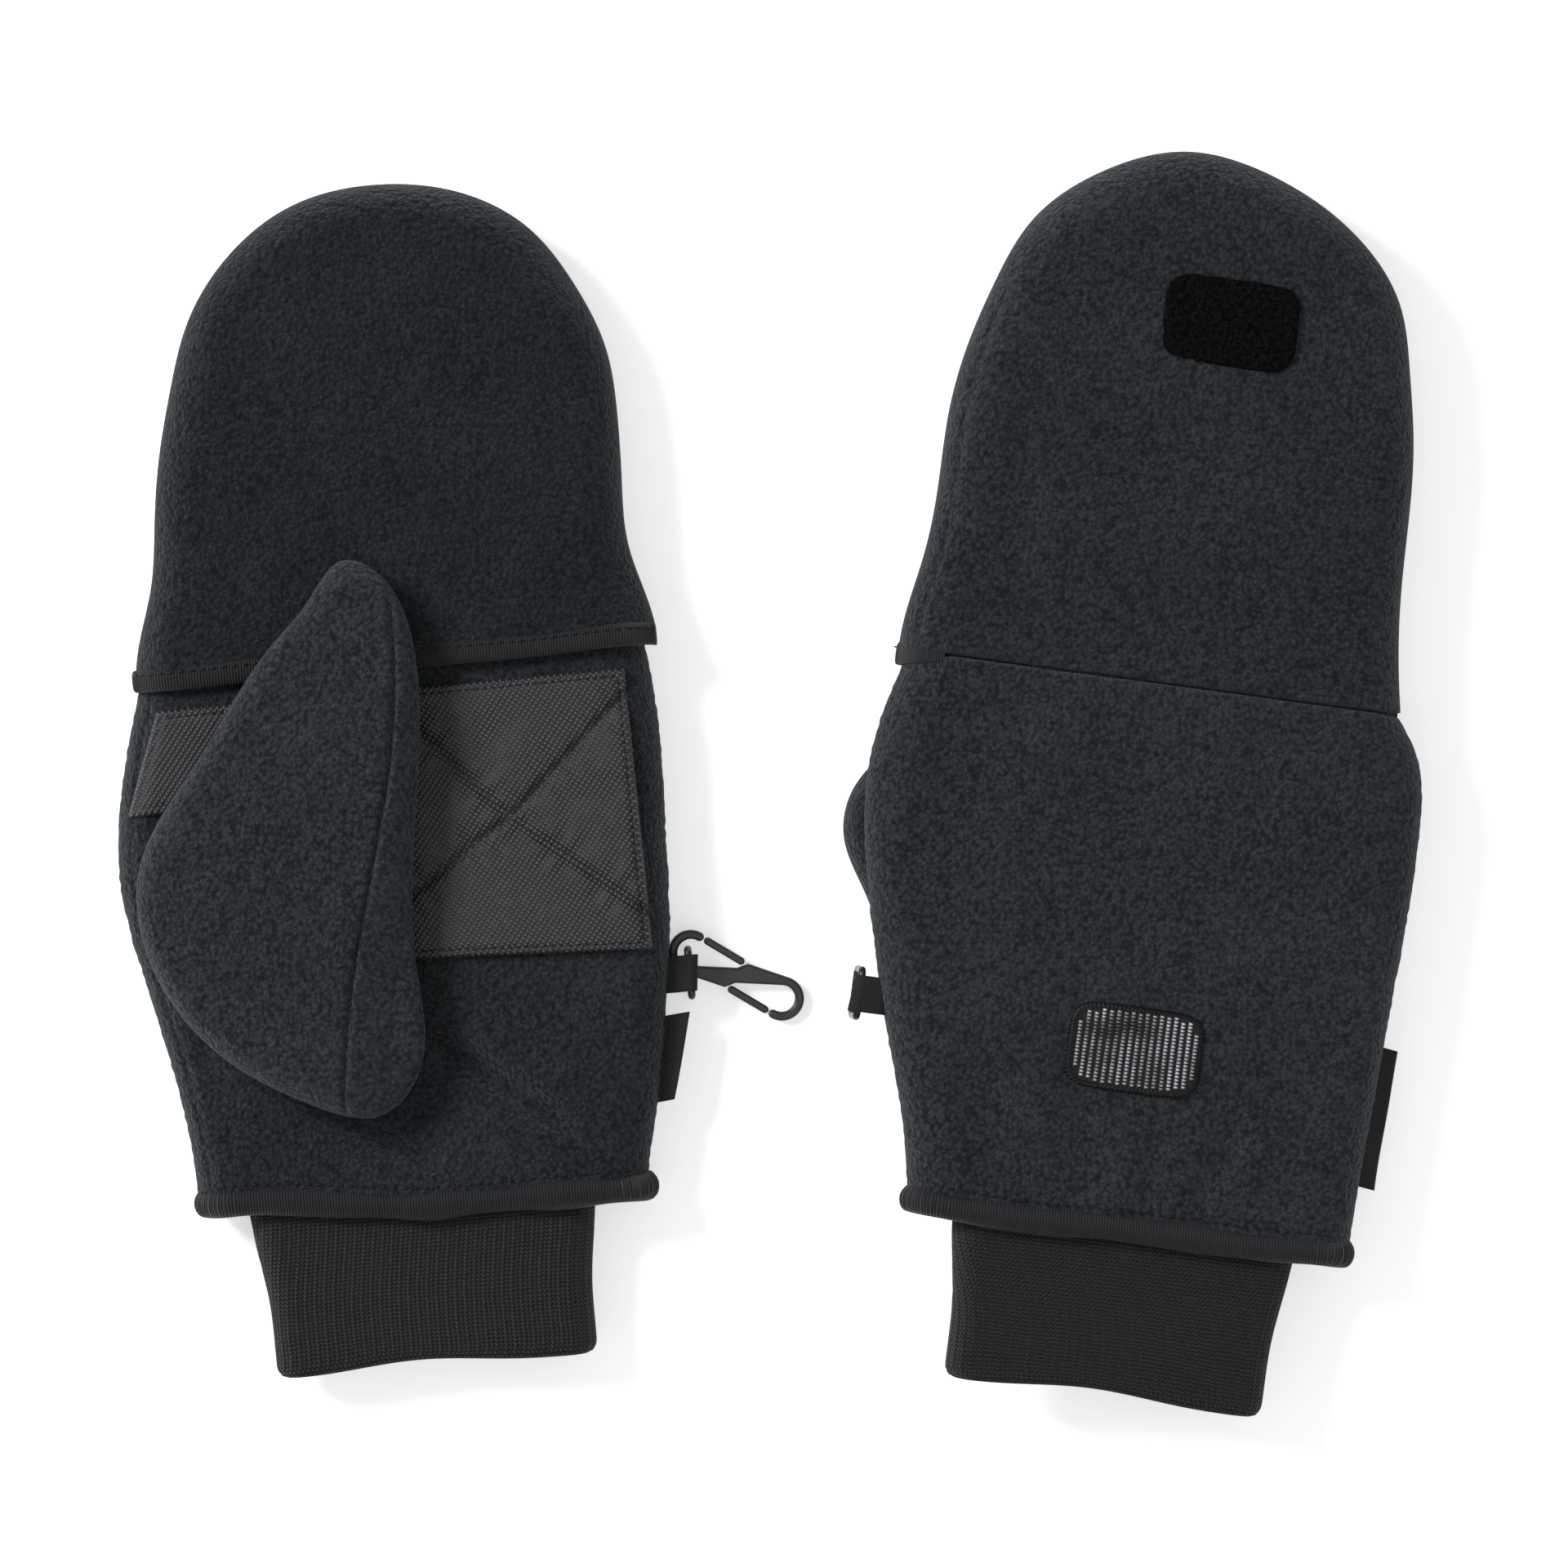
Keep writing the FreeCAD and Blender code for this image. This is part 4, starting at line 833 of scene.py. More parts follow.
def build_binding(side):
    """The bound hem across the cap's palm side, ribbed, with a row of stitches."""
    wide = sizes("binding_width")
    middle_y = sizes("glove_length") - 3.5 + wide / 2
    line = cap_outline(side, .5)
    edges = [float(np.interp(middle_y, part[:, 1], part[:, 0])) for part in (line[:60], line[-60:][::-1])]
    q = spaced(200, 0, 1)
    x = edges[0] + (edges[1] - edges[0]) * q
    d = np.minimum(x - edges[0], edges[1] - x)
    middle = sizes("cap_thick") / 2
    half = (middle + .2) * roundover(d, 11)
    points = np.stack([x, middle + half], -1)[::3]
    curl = 0.0
    if side == "right":
        back_x = np.linspace(edges[0] + 10.5, edges[0], 14)[:-1]
        back_half = (middle + .2) * roundover(back_x - edges[0], 11)
        points = np.vstack([np.stack([back_x, middle - back_half], -1), points])
        curl = 16.0
    path = smooth_line(points, 900)
    way = np.gradient(path, axis=0)
    way /= np.linalg.norm(way, axis=1)[:, None]
    out = np.stack([-way[:, 1], way[:, 0]], -1)
    run = np.r_[0, np.cumsum(np.linalg.norm(np.diff(path, axis=0), axis=1))]
    steps = np.arange(0, run[-1], sizes("rib_pitch") / 4)
    path, out = (np.stack([np.interp(steps, run, p[:, i]) for i in (0, 1)], -1) for p in (path, out))
    rib = .11 * np.cos(steps * math.tau / sizes("rib_pitch"))
    angle = np.arange(16) * math.tau / 16
    a, b = np.sign(np.cos(angle)) * np.abs(np.cos(angle)) ** .55, np.sign(np.sin(angle)) * np.abs(np.sin(angle)) ** .7
    wander = .35 * swell(steps, steps * .2, 61, 26, 70) + (np.clip(1 - steps / 16, 0, 1) * 1.2 if curl else 0)
    taper = np.clip(np.minimum(steps / (1 + curl / 2), run[-1] - steps) / 4, .3, 1)[:, None]
    thick = (1.45 + rib)[:, None] * taper * b[None]
    grid = np.stack([
        path[:, :1] + out[:, :1] * (thick - .9),
        middle_y + wander[:, None] + (wide / 2) * a[None] * np.ones_like(thick),
        path[:, 1:] + out[:, 1:] * (thick - .9)], -1)
    uv = np.stack(np.broadcast_arrays(steps[:, None], np.arange(17)[None] * .8), -1)
    cloth = Cloth()
    cloth.add(grid, uv, ring=True)
    for k, turned in ((0, True), (-1, False)):
        centre = np.repeat(grid[k].mean(0)[None], 16, 0)
        cloth.add(np.array([grid[k], centre]), ring=True, turned=turned)
    piece = cloth.finish(side + "_cap_binding_roll", side, ribbed_finish())
    settle(piece, side + "_cap", "binding", side + "_cap_binding")
    seam = Cloth()
    pitch = sizes("stitch")
    for s in np.arange(6 + curl, run[-1] - 6, pitch):
        k = [int(np.searchsorted(steps, s + e)) for e in (0, pitch * .7)]
        if k[1] >= len(steps):
            continue
        lift, row = .72, middle_y + wide / 2 - 1.25
        p = [(path[i, 0] + out[i, 0] * lift, row + wander[i], path[i, 1] + out[i, 1] * lift) for i in k]
        seam.thread(p[0], p[1], .26, (out[k[0], 0], 0, out[k[0], 1]))
    return settle(seam.finish(side + "_cap_binding_stitches", side, thread_finish()), side + "_cap", "binding")


# ---------------------------------------------------------------- thumb
def thumb_outline(side, grow=0.0, count=360):
    points = [(u * sizes("palm_width"), v * sizes("glove_length")) for u, v in THUMB_EDGE[side]]
    line = smooth_line(points, count, closed=True)
    return moved_in(line, grow)


def thumb_thickness(side, x, y):
    if side == "right":
        points = np.stack([x, y, np.full(np.shape(x), THUMB_FLOOR)], -1).reshape(-1, 3)
        low = thumb_to_row(side, np.vstack([points, points + (0, 0, 1)]))
        low, high = low[:len(points)], low[len(points):]
        return (low[:, 2] / (low[:, 2] - high[:, 2])).reshape(np.shape(x))
    line = thumb_outline(side)
    root_a, root_b = (np.array([u * sizes("palm_width"), v * sizes("glove_length")])
                      for u, v in ((-.452, .47), (-.06, .16)))
    along = (root_b - root_a) / np.linalg.norm(root_b - root_a)
    outward = np.array([along[1], -along[0]])
    if outward @ (line[0] - root_a) > 0:
        outward = -outward
    reach = line @ outward
    slope = sizes("thumb_taper") / (reach.max() - reach.min())
    return sizes("thumb_thick") - slope * (reach.max() - (x * outward[0] + y * outward[1]))


def build_thumb(side):
    line = thumb_outline(side)[::-1][:-1]  # clockwise, from the tip
    bottom_left, top_left, top_right, bottom_right = corners(line, closed=True)

    def arc(a, b):
        n = len(line)
        steps = (b - a) % n
        if steps > n / 2:
            steps -= n
        return line[(a + np.arange(0, steps + np.sign(steps), np.sign(steps))) % n]

    us, vs = spaced(170, 0, 1, .6), spaced(170, 0, 1, .6)
    plan = patch_between(arc(bottom_left, top_left), arc(bottom_right, top_right),
                         arc(bottom_left, bottom_right), arc(top_left, top_right), us, vs)
    x, y = plan[..., 0], plan[..., 1]
    off = away_from(x, y, np.vstack([line[::2], line[:1]]))
    off[:, 0] = off[:, -1] = off[0] = off[-1] = 0
    thick = thumb_thickness(side, x, y)
    thick = np.clip(thick, 4, None)
    radius = 6.4 if side == "left" else 5.5
    across, along = THUMB_SHIFT[side]
    seam = smooth_line([((u + across) * sizes("palm_width"), (v + along) * sizes("glove_length"))
                        for u, v in THUMB_SEAM], 90)
    from_seam = away_from(x, y, seam)
    beyond = np.clip(x - np.interp(y, seam[::-1, 1], seam[::-1, 0]), 0, None)
    top = roundover(off, radius)
    puff = .45 * swell(x, y, 71, 22, 55) + pile(x, y, 73)
    outer = thick * (.5 + .5 * top) + np.clip(puff, -1, .3) * top - 1.5 * np.exp(-(from_seam / .75) ** 2) * top
    outer -= top * (3.6 * np.clip(beyond / 11, 0, 1) ** 1.25)
    if side == "right":
        outer = np.minimum(outer, thick - .02)
    inner = thick * (.5 - .5 * roundover(off, radius))
    cloth = Cloth()
    cloth.add(np.stack([x, y, THUMB_FLOOR + outer], -1))
    cloth.add(np.stack([x, y, THUMB_FLOOR + inner], -1), turned=True)
    piece = cloth.finish(side + "_thumb_shell", side, fleece_of(side, "thumb"), place=thumb_to_row)
    settle(piece, side + "_thumb", "fleece", side + "_thumb_outer_panel", side + "_thumb_inner_panel")
    build_gusset(side)


def build_gusset(side):
    """The soft tube between the palm and the thumb's root."""
    shift = THUMB_SHIFT[side]
    cx, cy = (THUMB_HOLE[0] + shift[0]) * sizes("palm_width"), (THUMB_HOLE[1] + shift[1]) * sizes("glove_length")
    angle = np.arange(72) * math.tau / 72
    x, y = cx + GUSSET_RADIUS * np.cos(angle), cy + GUSSET_RADIUS * np.sin(angle)
    low, high = 20.75, 21.25
    base = np.minimum(palm_depth(side, x, y) - .8, low - .2)
    rows = [base] + [np.full(72, d) for d in np.linspace(low, high, 30)] + [np.full(72, 24.2)]
    grid = np.array([np.stack([x, y, d], -1) for d in rows])
    inside = grid.copy()
    inside[..., 0] += (cx - inside[..., 0]) * .12
    inside[..., 1] += (cy - inside[..., 1]) * .12
    cloth = Cloth()
    whole = np.concatenate([grid, inside[::-1]])
    cloth.add(whole, ring_rows=True, ring=True)
    piece = cloth.finish(side + "_thumb_gusset", side, fleece_of(side, "glove"))
    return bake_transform(piece)


# ---------------------------------------------------------------- grip patch
def patch_slide(side):
    return 0.0 if side == "left" else -.061 * sizes("palm_width")


def quilt_lines():
    return [np.array([QUILT_CROSS, end]) for end in QUILT_ENDS]


def patch_height(side, x, y):
    """Height of the grip fabric over the palm, with its quilting and puckers."""
    x = x - patch_slide(side)
    off = np.full(np.shape(x), 1e9)
    pucker = np.zeros(np.shape(x))
    for k, (a, b) in enumerate(quilt_lines()):
        way = (b - a) / np.linalg.norm(b - a)
        s = (x - a[0]) * way[0] + (y - a[1]) * way[1]
        d = away_from(x, y, np.array([a, b]))
        off = np.minimum(off, d)
        phase = 1.3 * np.sin(s * .37 + k) + .12 * d
        pucker += .42 * np.sin(s * math.tau / 7.2 + phase) * np.exp(-((d - 3.0) / 3.4) ** 2) * np.clip(d / 1.6, 0, 1)
    fold = -crease(x, y, (20, 99), (31, 116), 3.4, .5) - crease(x, y, (40, 72), (52, 66), 3.2, .45)
    fold -= crease(x, y, (41, 92), (58, 95), 3.2, .5) + crease(x, y, (8, 92), (20, 84), 3.2, .4)
    return 1.25 + 1.35 * (1 - np.exp(-off / 6.0)) - 1.5 * np.exp(-(off / 1.0) ** 2) + .8 * pucker + fold


def build_patch(side):
    width, length = sizes("palm_width"), sizes("glove_length")
    slide = patch_slide(side)
    foot_mark, step, head_mark, right_end = .415, .745, .95, .935
    foot_slant, toe_slant = .9, -2.2  # the foot edge rises at the left and drops at the right

    def band(ys, lefts, rights, columns, share=.25):
        """Rows of points between a left and a right edge."""
        q = spaced(columns, 0, 1, share)
        return np.array([np.stack([l + (r - l) * q, np.full(columns, 0.0) + y], -1)
                         for y, l, r in zip(ys, lefts, rights)])

    ys = np.linspace(foot_mark + .015, step, 76)
    lefts = np.interp(ys, [.43, .60, step], [.005, -.03, -.17]) * width + slide
    rights = np.interp(ys, [foot_mark, right_end], [.452, .448]) * width + slide
    lower = band(ys * length, lefts, rights, 110)
    tops = np.linspace(step, head_mark - .012, 42)
    inner = np.interp(tops, [step, head_mark], [-.17, -.20]) * width + slide
    outer = np.interp(tops, [step, head_mark], [-.482, -.405]) * width + slide
    edge = np.interp(tops, [foot_mark, right_end], [.452, .448]) * width + slide
    upper = band(tops * length, inner, edge, 110)
    wing = band(tops * length, outer, inner, 50)
    cloth = Cloth()
    border = np.array([(outer[0], step * length), (outer[-1], tops[-1] * length), (edge[-1], tops[-1] * length),
                       (rights[0], ys[0] * length), (lefts[0], ys[0] * length), (lefts[40], ys[40] * length),
                       (inner[0], step * length), (outer[0], step * length)])
    slant = np.interp(lower[..., 0], [lefts[0], rights[0]], [foot_slant, toe_slant])
    fade = np.clip(1 - (lower[..., 1] - ys[0] * length) / 30, 0, 1)
    lower[..., 1] += slant * fade
    border[3, 1] += toe_slant
    border[4, 1] += foot_slant

    def skin(plan):
        x, y = plan[..., 0], plan[..., 1]
        off = away_from(x, y, border)
        rise = roundover(off, 1.1)
        height = np.maximum(patch_height(side, x, y), .25) * rise - .35 * (1 - rise)
        height -= .4 * np.exp(-((off - 2.0) / .5) ** 2)
        return np.stack([x, y, palm_depth(side, x, y) + height], -1)

    def sunk(top):
        """The same points, a little inside the palm."""
        under = top.copy()
        under[..., 2] = palm_depth(side, top[..., 0], top[..., 1]) - .6
        return under

    for plan in (lower, upper, wing):
        top = skin(plan)
        cloth.add(top)
        cloth.add(sunk(top), turned=True)
    rows = [(lower, 0, True), (upper, -1, False), (wing, -1, False), (wing, 0, True)]
    columns = [(lower, 0, False), (lower, -1, True), (upper, -1, True), (wing, 0, False)]
    for top, turned in [(skin(plan)[k], turned) for plan, k, turned in rows] + [
            (skin(plan)[:, k], turned) for plan, k, turned in columns]:
        cloth.add(np.array([top, sunk(top)]), turned=turned)
    piece = cloth.finish(side + "_grip_patch", side, grip_finish())
    settle(piece, "gloves", "grip_fabric", side + "_palm_patch")

    seams = Cloth()
    pitch = sizes("stitch") * .8
    for a, b in quilt_lines():
        stitch_line(seams, side, [(a[0] + slide, a[1]), (b[0] + slide, b[1])], pitch, .34, .2)
    inset = 2.0
    foot = [(lefts[0] + 1, ys[0] * length + foot_slant + inset),
            (rights[0] - inset, ys[0] * length + toe_slant + inset)]
    right_edge = [foot[1], (edge[-1] - inset, tops[-1] * length - inset)]
    head = [right_edge[1], (outer[-1] + inset, tops[-1] * length - inset)]
    for run in (foot, right_edge, head):
        stitch_line(seams, side, run, pitch, .26, 0.0)
    below = [(foot[0][0], foot[0][1] - 3.1), (foot[1][0], foot[1][1] - 3.1)]
    stitch_line(seams, side, below, pitch, .22, None)
    return settle(seams.finish(side + "_grip_patch_stitches", side, thread_finish()), "gloves", "binding")


def stitch_line(cloth, side, run, pitch, radius, lift):
    """Stitches along a straight run, on the patch, or on the palm where lift is None."""
    (ax, ay), (bx, by) = run
    length = math.hypot(bx - ax, by - ay)
    for s in np.arange(.6, length - pitch, pitch):
        ends = []
        for t in (s, s + pitch * .72):
            x, y = ax + (bx - ax) * t / length, ay + (by - ay) * t / length
            at = side, np.array([x]), np.array([y])
            grown = .05 if lift is None else max(patch_height(*at)[0] + lift - .3, .05)
            ends.append((x, y, palm_depth(*at)[0] + grown))
        cloth.thread(ends[0], ends[1], radius, (0, 0, 1))


# ---------------------------------------------------------------- knit
def flat_ring(width, thick, count):
    """A flattened ring: points, outward directions and the run along it."""
    radius = thick / 2
    reach = width / 2 - radius
    quarter = np.linspace(-math.pi / 2, math.pi / 2, 15)
    right = np.stack([reach + radius * np.cos(quarter), radius * np.sin(quarter)], -1)
    outline = np.vstack([right, -right, right[:1]])
    points = along_line(outline, np.arange(count) / count)
    way = np.roll(points, -1, 0) - np.roll(points, 1, 0)
    way /= np.linalg.norm(way, axis=1)[:, None]
    total = 4 * reach + math.tau * radius
    return points, np.stack([way[:, 1], -way[:, 0]], -1), np.arange(count + 1) * total / count


def knit_tube(cloth, x, depth, ys, widths, thick, wall, count, soft=0.0, bow=None):
    """A knitted tube with a turned hem at both ends."""
    rows, uvs = [], []

    def ring(y, width, deep, inset):
        points, out, run = flat_ring(width - 2 * inset, deep - 2 * inset, count)
        columns = soft * np.cos(run[:-1] * math.tau / 2.3) if inset == 0 else 0
        points = points + out * np.reshape(columns, (-1, 1)) * np.ones_like(points)
        shift = bow(points[:, 0], y) if bow else 0
        rows.append(np.stack([points[:, 0] + x, np.full(count, y) + shift, points[:, 1] + depth], -1))
        uvs.append(np.stack([run, np.full(count + 1, y)], -1))

    for y, width in zip(ys, widths):
        ring(y, width, thick, 0)
    ring(ys[-1] + .5 * np.sign(ys[-1] - ys[0]), widths[-1] - .8, thick - .8, wall * .4)
    for y, width in list(zip(ys, widths))[::-3]:
        ring(y, width, thick, wall)
    ring(ys[0], widths[0], thick, wall)
    uvs.append(uvs[0])
    cloth.add(np.array(rows), np.array(uvs), ring_rows=True, ring=True)


def build_cuff(side):
    left, right = glove_sides(side, np.array([.03 * sizes("glove_length")]))
    x = float(left[0] + right[0]) / 2 + (-1.0 if side == "left" else -.6)
    ys = np.linspace(16, -sizes("cuff_length"), 70)
    share = (ys + sizes("cuff_length")) / 57
    widths = 79 + 9 * share - 2.4 * np.exp(-((ys + 24) / 13) ** 2) - 2.2 * np.clip((-38.5 - ys) / 2.5, 0, 1) ** 2

    def bow(px, y):
        end = np.clip(-y / sizes("cuff_length"), 0, 1) ** 2
        return end * (.9 * np.cos(px / 40 * math.pi) - .5 * np.sin(px / 19)) + .25 * np.sin(px / 7 + y * .4) * end

    cloth = Cloth()
    knit_tube(cloth, x, sizes("glove_thick") / 2, ys, widths, sizes("cuff_thick"), 2.2, 340, .1, bow)
    piece = cloth.finish(side + "_cuff", side, knit_finish("rib_knit", 1.0, 1.15, .95))
    # Knitted rows run down the tube, so the outside looks outwards when the rows do.
    flip_if_inward(piece)
    return settle(piece, "gloves", "rib_knit", side + "_knit_cuff")


def flip_if_inward(piece):
    """Turns a closed shell whose faces look inwards."""
    work = bmesh.new()
    work.from_mesh(piece.data)
    if work.calc_volume(signed=True) < 0:
        bmesh.ops.reverse_faces(work, faces=work.faces)
        work.to_mesh(piece.data)
    work.free()
    return piece


def build_stalls(side):
    wall = 3.5 + 3.6
    left, right = glove_sides(side, np.array([sizes("glove_length")]), -wall)
    gap = 1.0
    width = (float(right[0] - left[0]) - 3 * gap) / 4
    for i, finger in enumerate(FINGERS):
        x = float(left[0]) + width / 2 + i * (width + gap)
        ys = np.linspace(sizes("glove_length") - 9, sizes("glove_length") + 13.5, 26)
        widths = np.full(26, width - .4) - 1.1 * np.sin(np.linspace(0, math.pi, 26))
        cloth = Cloth()
        knit_tube(cloth, x, 9.2, ys, widths, 10.2, 1.8, 96, .06)
        knit = knit_finish("stall_knit", 1.1, 1.0, .9)
        piece = flip_if_inward(cloth.finish(f"{side}_{finger}_finger_stall", side, knit))
        settle(piece, "gloves", "stall_knit", f"{side}_{finger}_stall")


def build_piping(side):
    """The rolled wrist hem: a ribbed roll round the opening, with a row of stitches over it."""
    left, right = glove_sides(side, np.array([.03 * sizes("glove_length")]))
    x = float(left[0] + right[0]) / 2
    width, thick = float(right[0] - left[0]) + 2.4, sizes("glove_thick") + 1.6
    run_length = 2 * (width - thick) + math.pi * thick
    ribs = int(round((run_length - math.pi * 4) / sizes("rib_pitch")))
    count = ribs * 4
    centre, out, _ = flat_ring(width - 4.2, thick - 4.2, count)
    rib = .12 * np.cos(np.arange(count) * math.tau / 4)
    angle = np.arange(18) * math.tau / 18
    tall, deep = sizes("piping_width") / 2, 2.35
    px = centre[:, 0] + x
    wave = hem_wave(side, px) + .25 * swell(px, centre[:, 1], 83, 18, 50)
    fat = 1 + .07 * swell(px, centre[:, 1], 89, 12, 34)
    grid = []
    for a in angle:
        level, along = math.sin(a), math.cos(a)
        # A shallow furrow divides the roll from its turned edge.
        furrow = 1 - .22 * math.exp(-((a - math.radians(48)) / .16) ** 2)
        r = (deep * level * furrow * fat + rib * level)[:, None]
        grid.append(np.column_stack([px[:, None] + out[:, :1] * r, (wave + tall * fat * along)[:, None],
                                     centre[:, 1:] + sizes("glove_thick") / 2 + out[:, 1:] * r]))
    grid = np.array(grid)
    uv = np.stack(np.broadcast_arrays(np.arange(count + 1)[None] * sizes("rib_pitch") / 4,
                                      np.arange(19)[:, None] * .8), -1)
    cloth = Cloth()
    cloth.add(grid, uv, ring_rows=True, ring=True)
    piece = flip_if_inward(cloth.finish(side + "_rolled_hem", side, ribbed_finish()))
    settle(piece, "gloves", "binding", side + "_wrist_piping")
    seam = Cloth()
    for face, depth_of in ((1, palm_depth), (-1, back_depth)):
        for s in np.arange(float(left[0]) + 6, float(right[0]) - 6, sizes("stitch")):
            ends = np.array([s, s + sizes("stitch") * .68])
            ys = hem_wave(side, ends) + 4.3
            depths = depth_of(side, ends, ys) + face * .12
            seam.thread((ends[0], ys[0], depths[0]), (ends[1], ys[1], depths[1]), .3, (0, 0, face))
    return settle(seam.finish(side + "_rolled_hem_stitches", side, thread_finish()), "gloves", "binding")


# ---------------------------------------------------------------- hook and loop
def closure_place(side, reach):
    """The middle of a closure patch, reach mm above the cap's seam."""
    left, right = glove_sides(side, np.array([sizes("glove_length") - .01]))
    shift = 1.0 if side == "left" else 5.5
    return float(left[0] + right[0]) / 2 + shift, sizes("glove_length") + reach


def rounded_plan(x, y, width, height, us, vs, wobble=0.0, seed=0):
    """A rounded rectangle as a grid of flat points, and each point's distance from its edge."""
    turn = np.linspace(0, math.tau, 241)[:-1] + math.radians(45)
    c, s = np.cos(turn), np.sin(turn)
    power = 2 / 5.2  # a superellipse, between an oval and a sharp rectangle
    line = np.stack([np.sign(c) * np.abs(c) ** power * width / 2, np.sign(s) * np.abs(s) ** power * height / 2], -1)
    line *= 1 + wobble * swell(line[:, 0], line[:, 1], seed, 3, 9)[:, None]
    line = line + (x, y)
    q = len(line) // 4
    top, left_side, low, right_side = (np.vstack([line, line[:1]])[k * q:(k + 1) * q + 1] for k in range(4))
    plan = patch_between(left_side[::-1], right_side, low, top[::-1], us, vs)
    off = away_from(plan[..., 0], plan[..., 1], np.vstack([line[::2], line[:1]]))
    off[:, 0] = off[:, -1] = off[0] = off[-1] = 0
    return plan, off, line


def build_hook(side):
    """The hook patch: rows of moulded hooks on a glossy base inside an overlocked edge."""
    x, y = closure_place(side, -CLOSURE_REACH)
    body = "gloves"
    plan, off, line = rounded_plan(x, y, sizes("closure_width"), sizes("closure_height"),
                                   np.linspace(0, 1, 60), np.linspace(0, 1, 44))
    base = back_depth(side, plan[..., 0], plan[..., 1]) if side == "right" else np.full(off.shape, .1)
    top = base - .75 * roundover(off, .8)
    cloth = Cloth()
    cloth.add(np.stack([plan[..., 0], plan[..., 1], top], -1), turned=True)
    cloth.add(np.stack([plan[..., 0], plan[..., 1], base + .5 * (off > 0)], -1))
    piece = cloth.finish(side + "_hook_base", side, thread_finish("hook_base", .4))
    settle(piece, body, "hook_tape", side + "_hook_patch")

    hooks = Cloth()
    for i, hx in enumerate(np.arange(-14.3, 14.4, 1.79)):
        for hy in np.arange(-8.6, 8.7, .86):
            if (abs(hx) / 14.6) ** 5 + (abs(hy) / 8.9) ** 5 > 1:
                continue
            px, py = x + hx, y + hy + (.2 if i % 2 else 0)
            root = float(back_depth(side, np.array([px]), np.array([py]))[0]) - .7 if side == "right" else -.6
            hook_stalk(hooks, px, py, root, 1)
    settle(hooks.finish(side + "_hooks", side, hook_finish()), body, "hook_tape")
    edge_seam(side, side + "_hook_edge", line, body)


def hook_stalk(cloth, x, y, root, way):
    """One bent hook: a strip that rises and turns over."""
    rows = []
    for s, rise, lean, wide in ((0, 0, 0, .62), (.4, .34, .05, .56), (.7, .6, .22, .5), (1, .66, .52, .3)):
        cx = x + way * lean
        cy, cz = y, root - rise
        half, thin = wide, .26 - .1 * s
        rows.append([(cx - thin, cy - half * .55, cz), (cx + thin, cy - half * .55, cz),
                     (cx + thin, cy + half * .55, cz), (cx - thin, cy + half * .55, cz)])
    rows = np.array(rows)
    cloth.add(rows, ring=True, turned=True)
    tip = rows[-1]
    cloth.add(np.array([[tip[0], tip[1]], [tip[3], tip[2]]]), turned=True)


def edge_seam(side, name, line, body):
    """An overlocked edge: slanting stitches all round a patch."""
    seam = Cloth()
    ring = np.vstack([line, line[:1]])
    run = np.linalg.norm(np.diff(ring, axis=0), axis=1).sum()
    count = int(run / 1.05)
    middle = line.mean(0)
    draw = np.random.RandomState(17)
    outer = along_line(ring, np.arange(count) / count)
    for p in outer:
        inward = (middle - p) / np.linalg.norm(middle - p)
        tangent = np.array([-inward[1], inward[0]])
        a = p - inward * draw.uniform(.0, .35) + tangent * .35
        b = p + inward * draw.uniform(1.6, 2.1) - tangent * .35
        depths = [float(back_depth(side, np.array([q[0]]), np.array([q[1]]))[0]) if side == "right" else .1
                  for q in (a, b)]
        seam.thread((a[0], a[1], depths[0] - .35), (b[0], b[1], depths[1] - .95), .34, (0, 0, -1))
    return settle(seam.finish(name, side, thread_finish("edge_thread", .8)), body, "binding")


def build_loop(side):
    """The loop patch: a fuzzy pad with an uneven edge and small loops standing out of it."""
    x, y = closure_place(side, CLOSURE_REACH)
    body = side + "_cap"
    us, vs = np.linspace(0, 1, 96), np.linspace(0, 1, 66)
    plan, off, _ = rounded_plan(x, y, sizes("closure_width") + .4, sizes("closure_height") + .4, us, vs, .008, 3)
    px, py = plan[..., 0], plan[..., 1]
    low = .4
    tufts = .28 * swell(px, py, 91, 1.6, 3.6, 16) + .12 * swell(px, py, 93, 6, 14)
    top = low - 1.45 * roundover(off, 1.6) - tufts * roundover(off, 2)
    top = np.maximum(top, -1.45)
    cloth = Cloth()
    cloth.add(np.stack([px, py, top], -1), turned=True)
    cloth.add(np.stack([px, py, np.full(off.shape, low) + .5 * (off > 0)], -1))
    piece = cloth.finish(side + "_loop_pad", side, loop_finish())
    settle(piece, body, "loop_tape", side + "_loop_patch")
    fuzz = Cloth()
    draw = np.random.RandomState(29)
    for _ in range(620):
        fx, fy = draw.uniform(-16.4, 16.4), draw.uniform(-10.4, 10.4)
        if (abs(fx) / 16.9) ** 5 + (abs(fy) / 10.9) ** 5 > 1:
            continue
        turn, size = draw.uniform(0, math.tau), draw.uniform(.45, .95)
        a = np.array([x + fx, y + fy, -.85])
        way = np.array([math.cos(turn), math.sin(turn), 0]) * size
        fuzz.thread(a - way * .5, a + way * .5, draw.uniform(.07, .12), (0, 0, -1))
        fuzz.points[-1][..., 2] -= draw.uniform(0, .28)
    return settle(fuzz.finish(side + "_loop_fuzz", side, loop_finish()), body, "loop_tape")


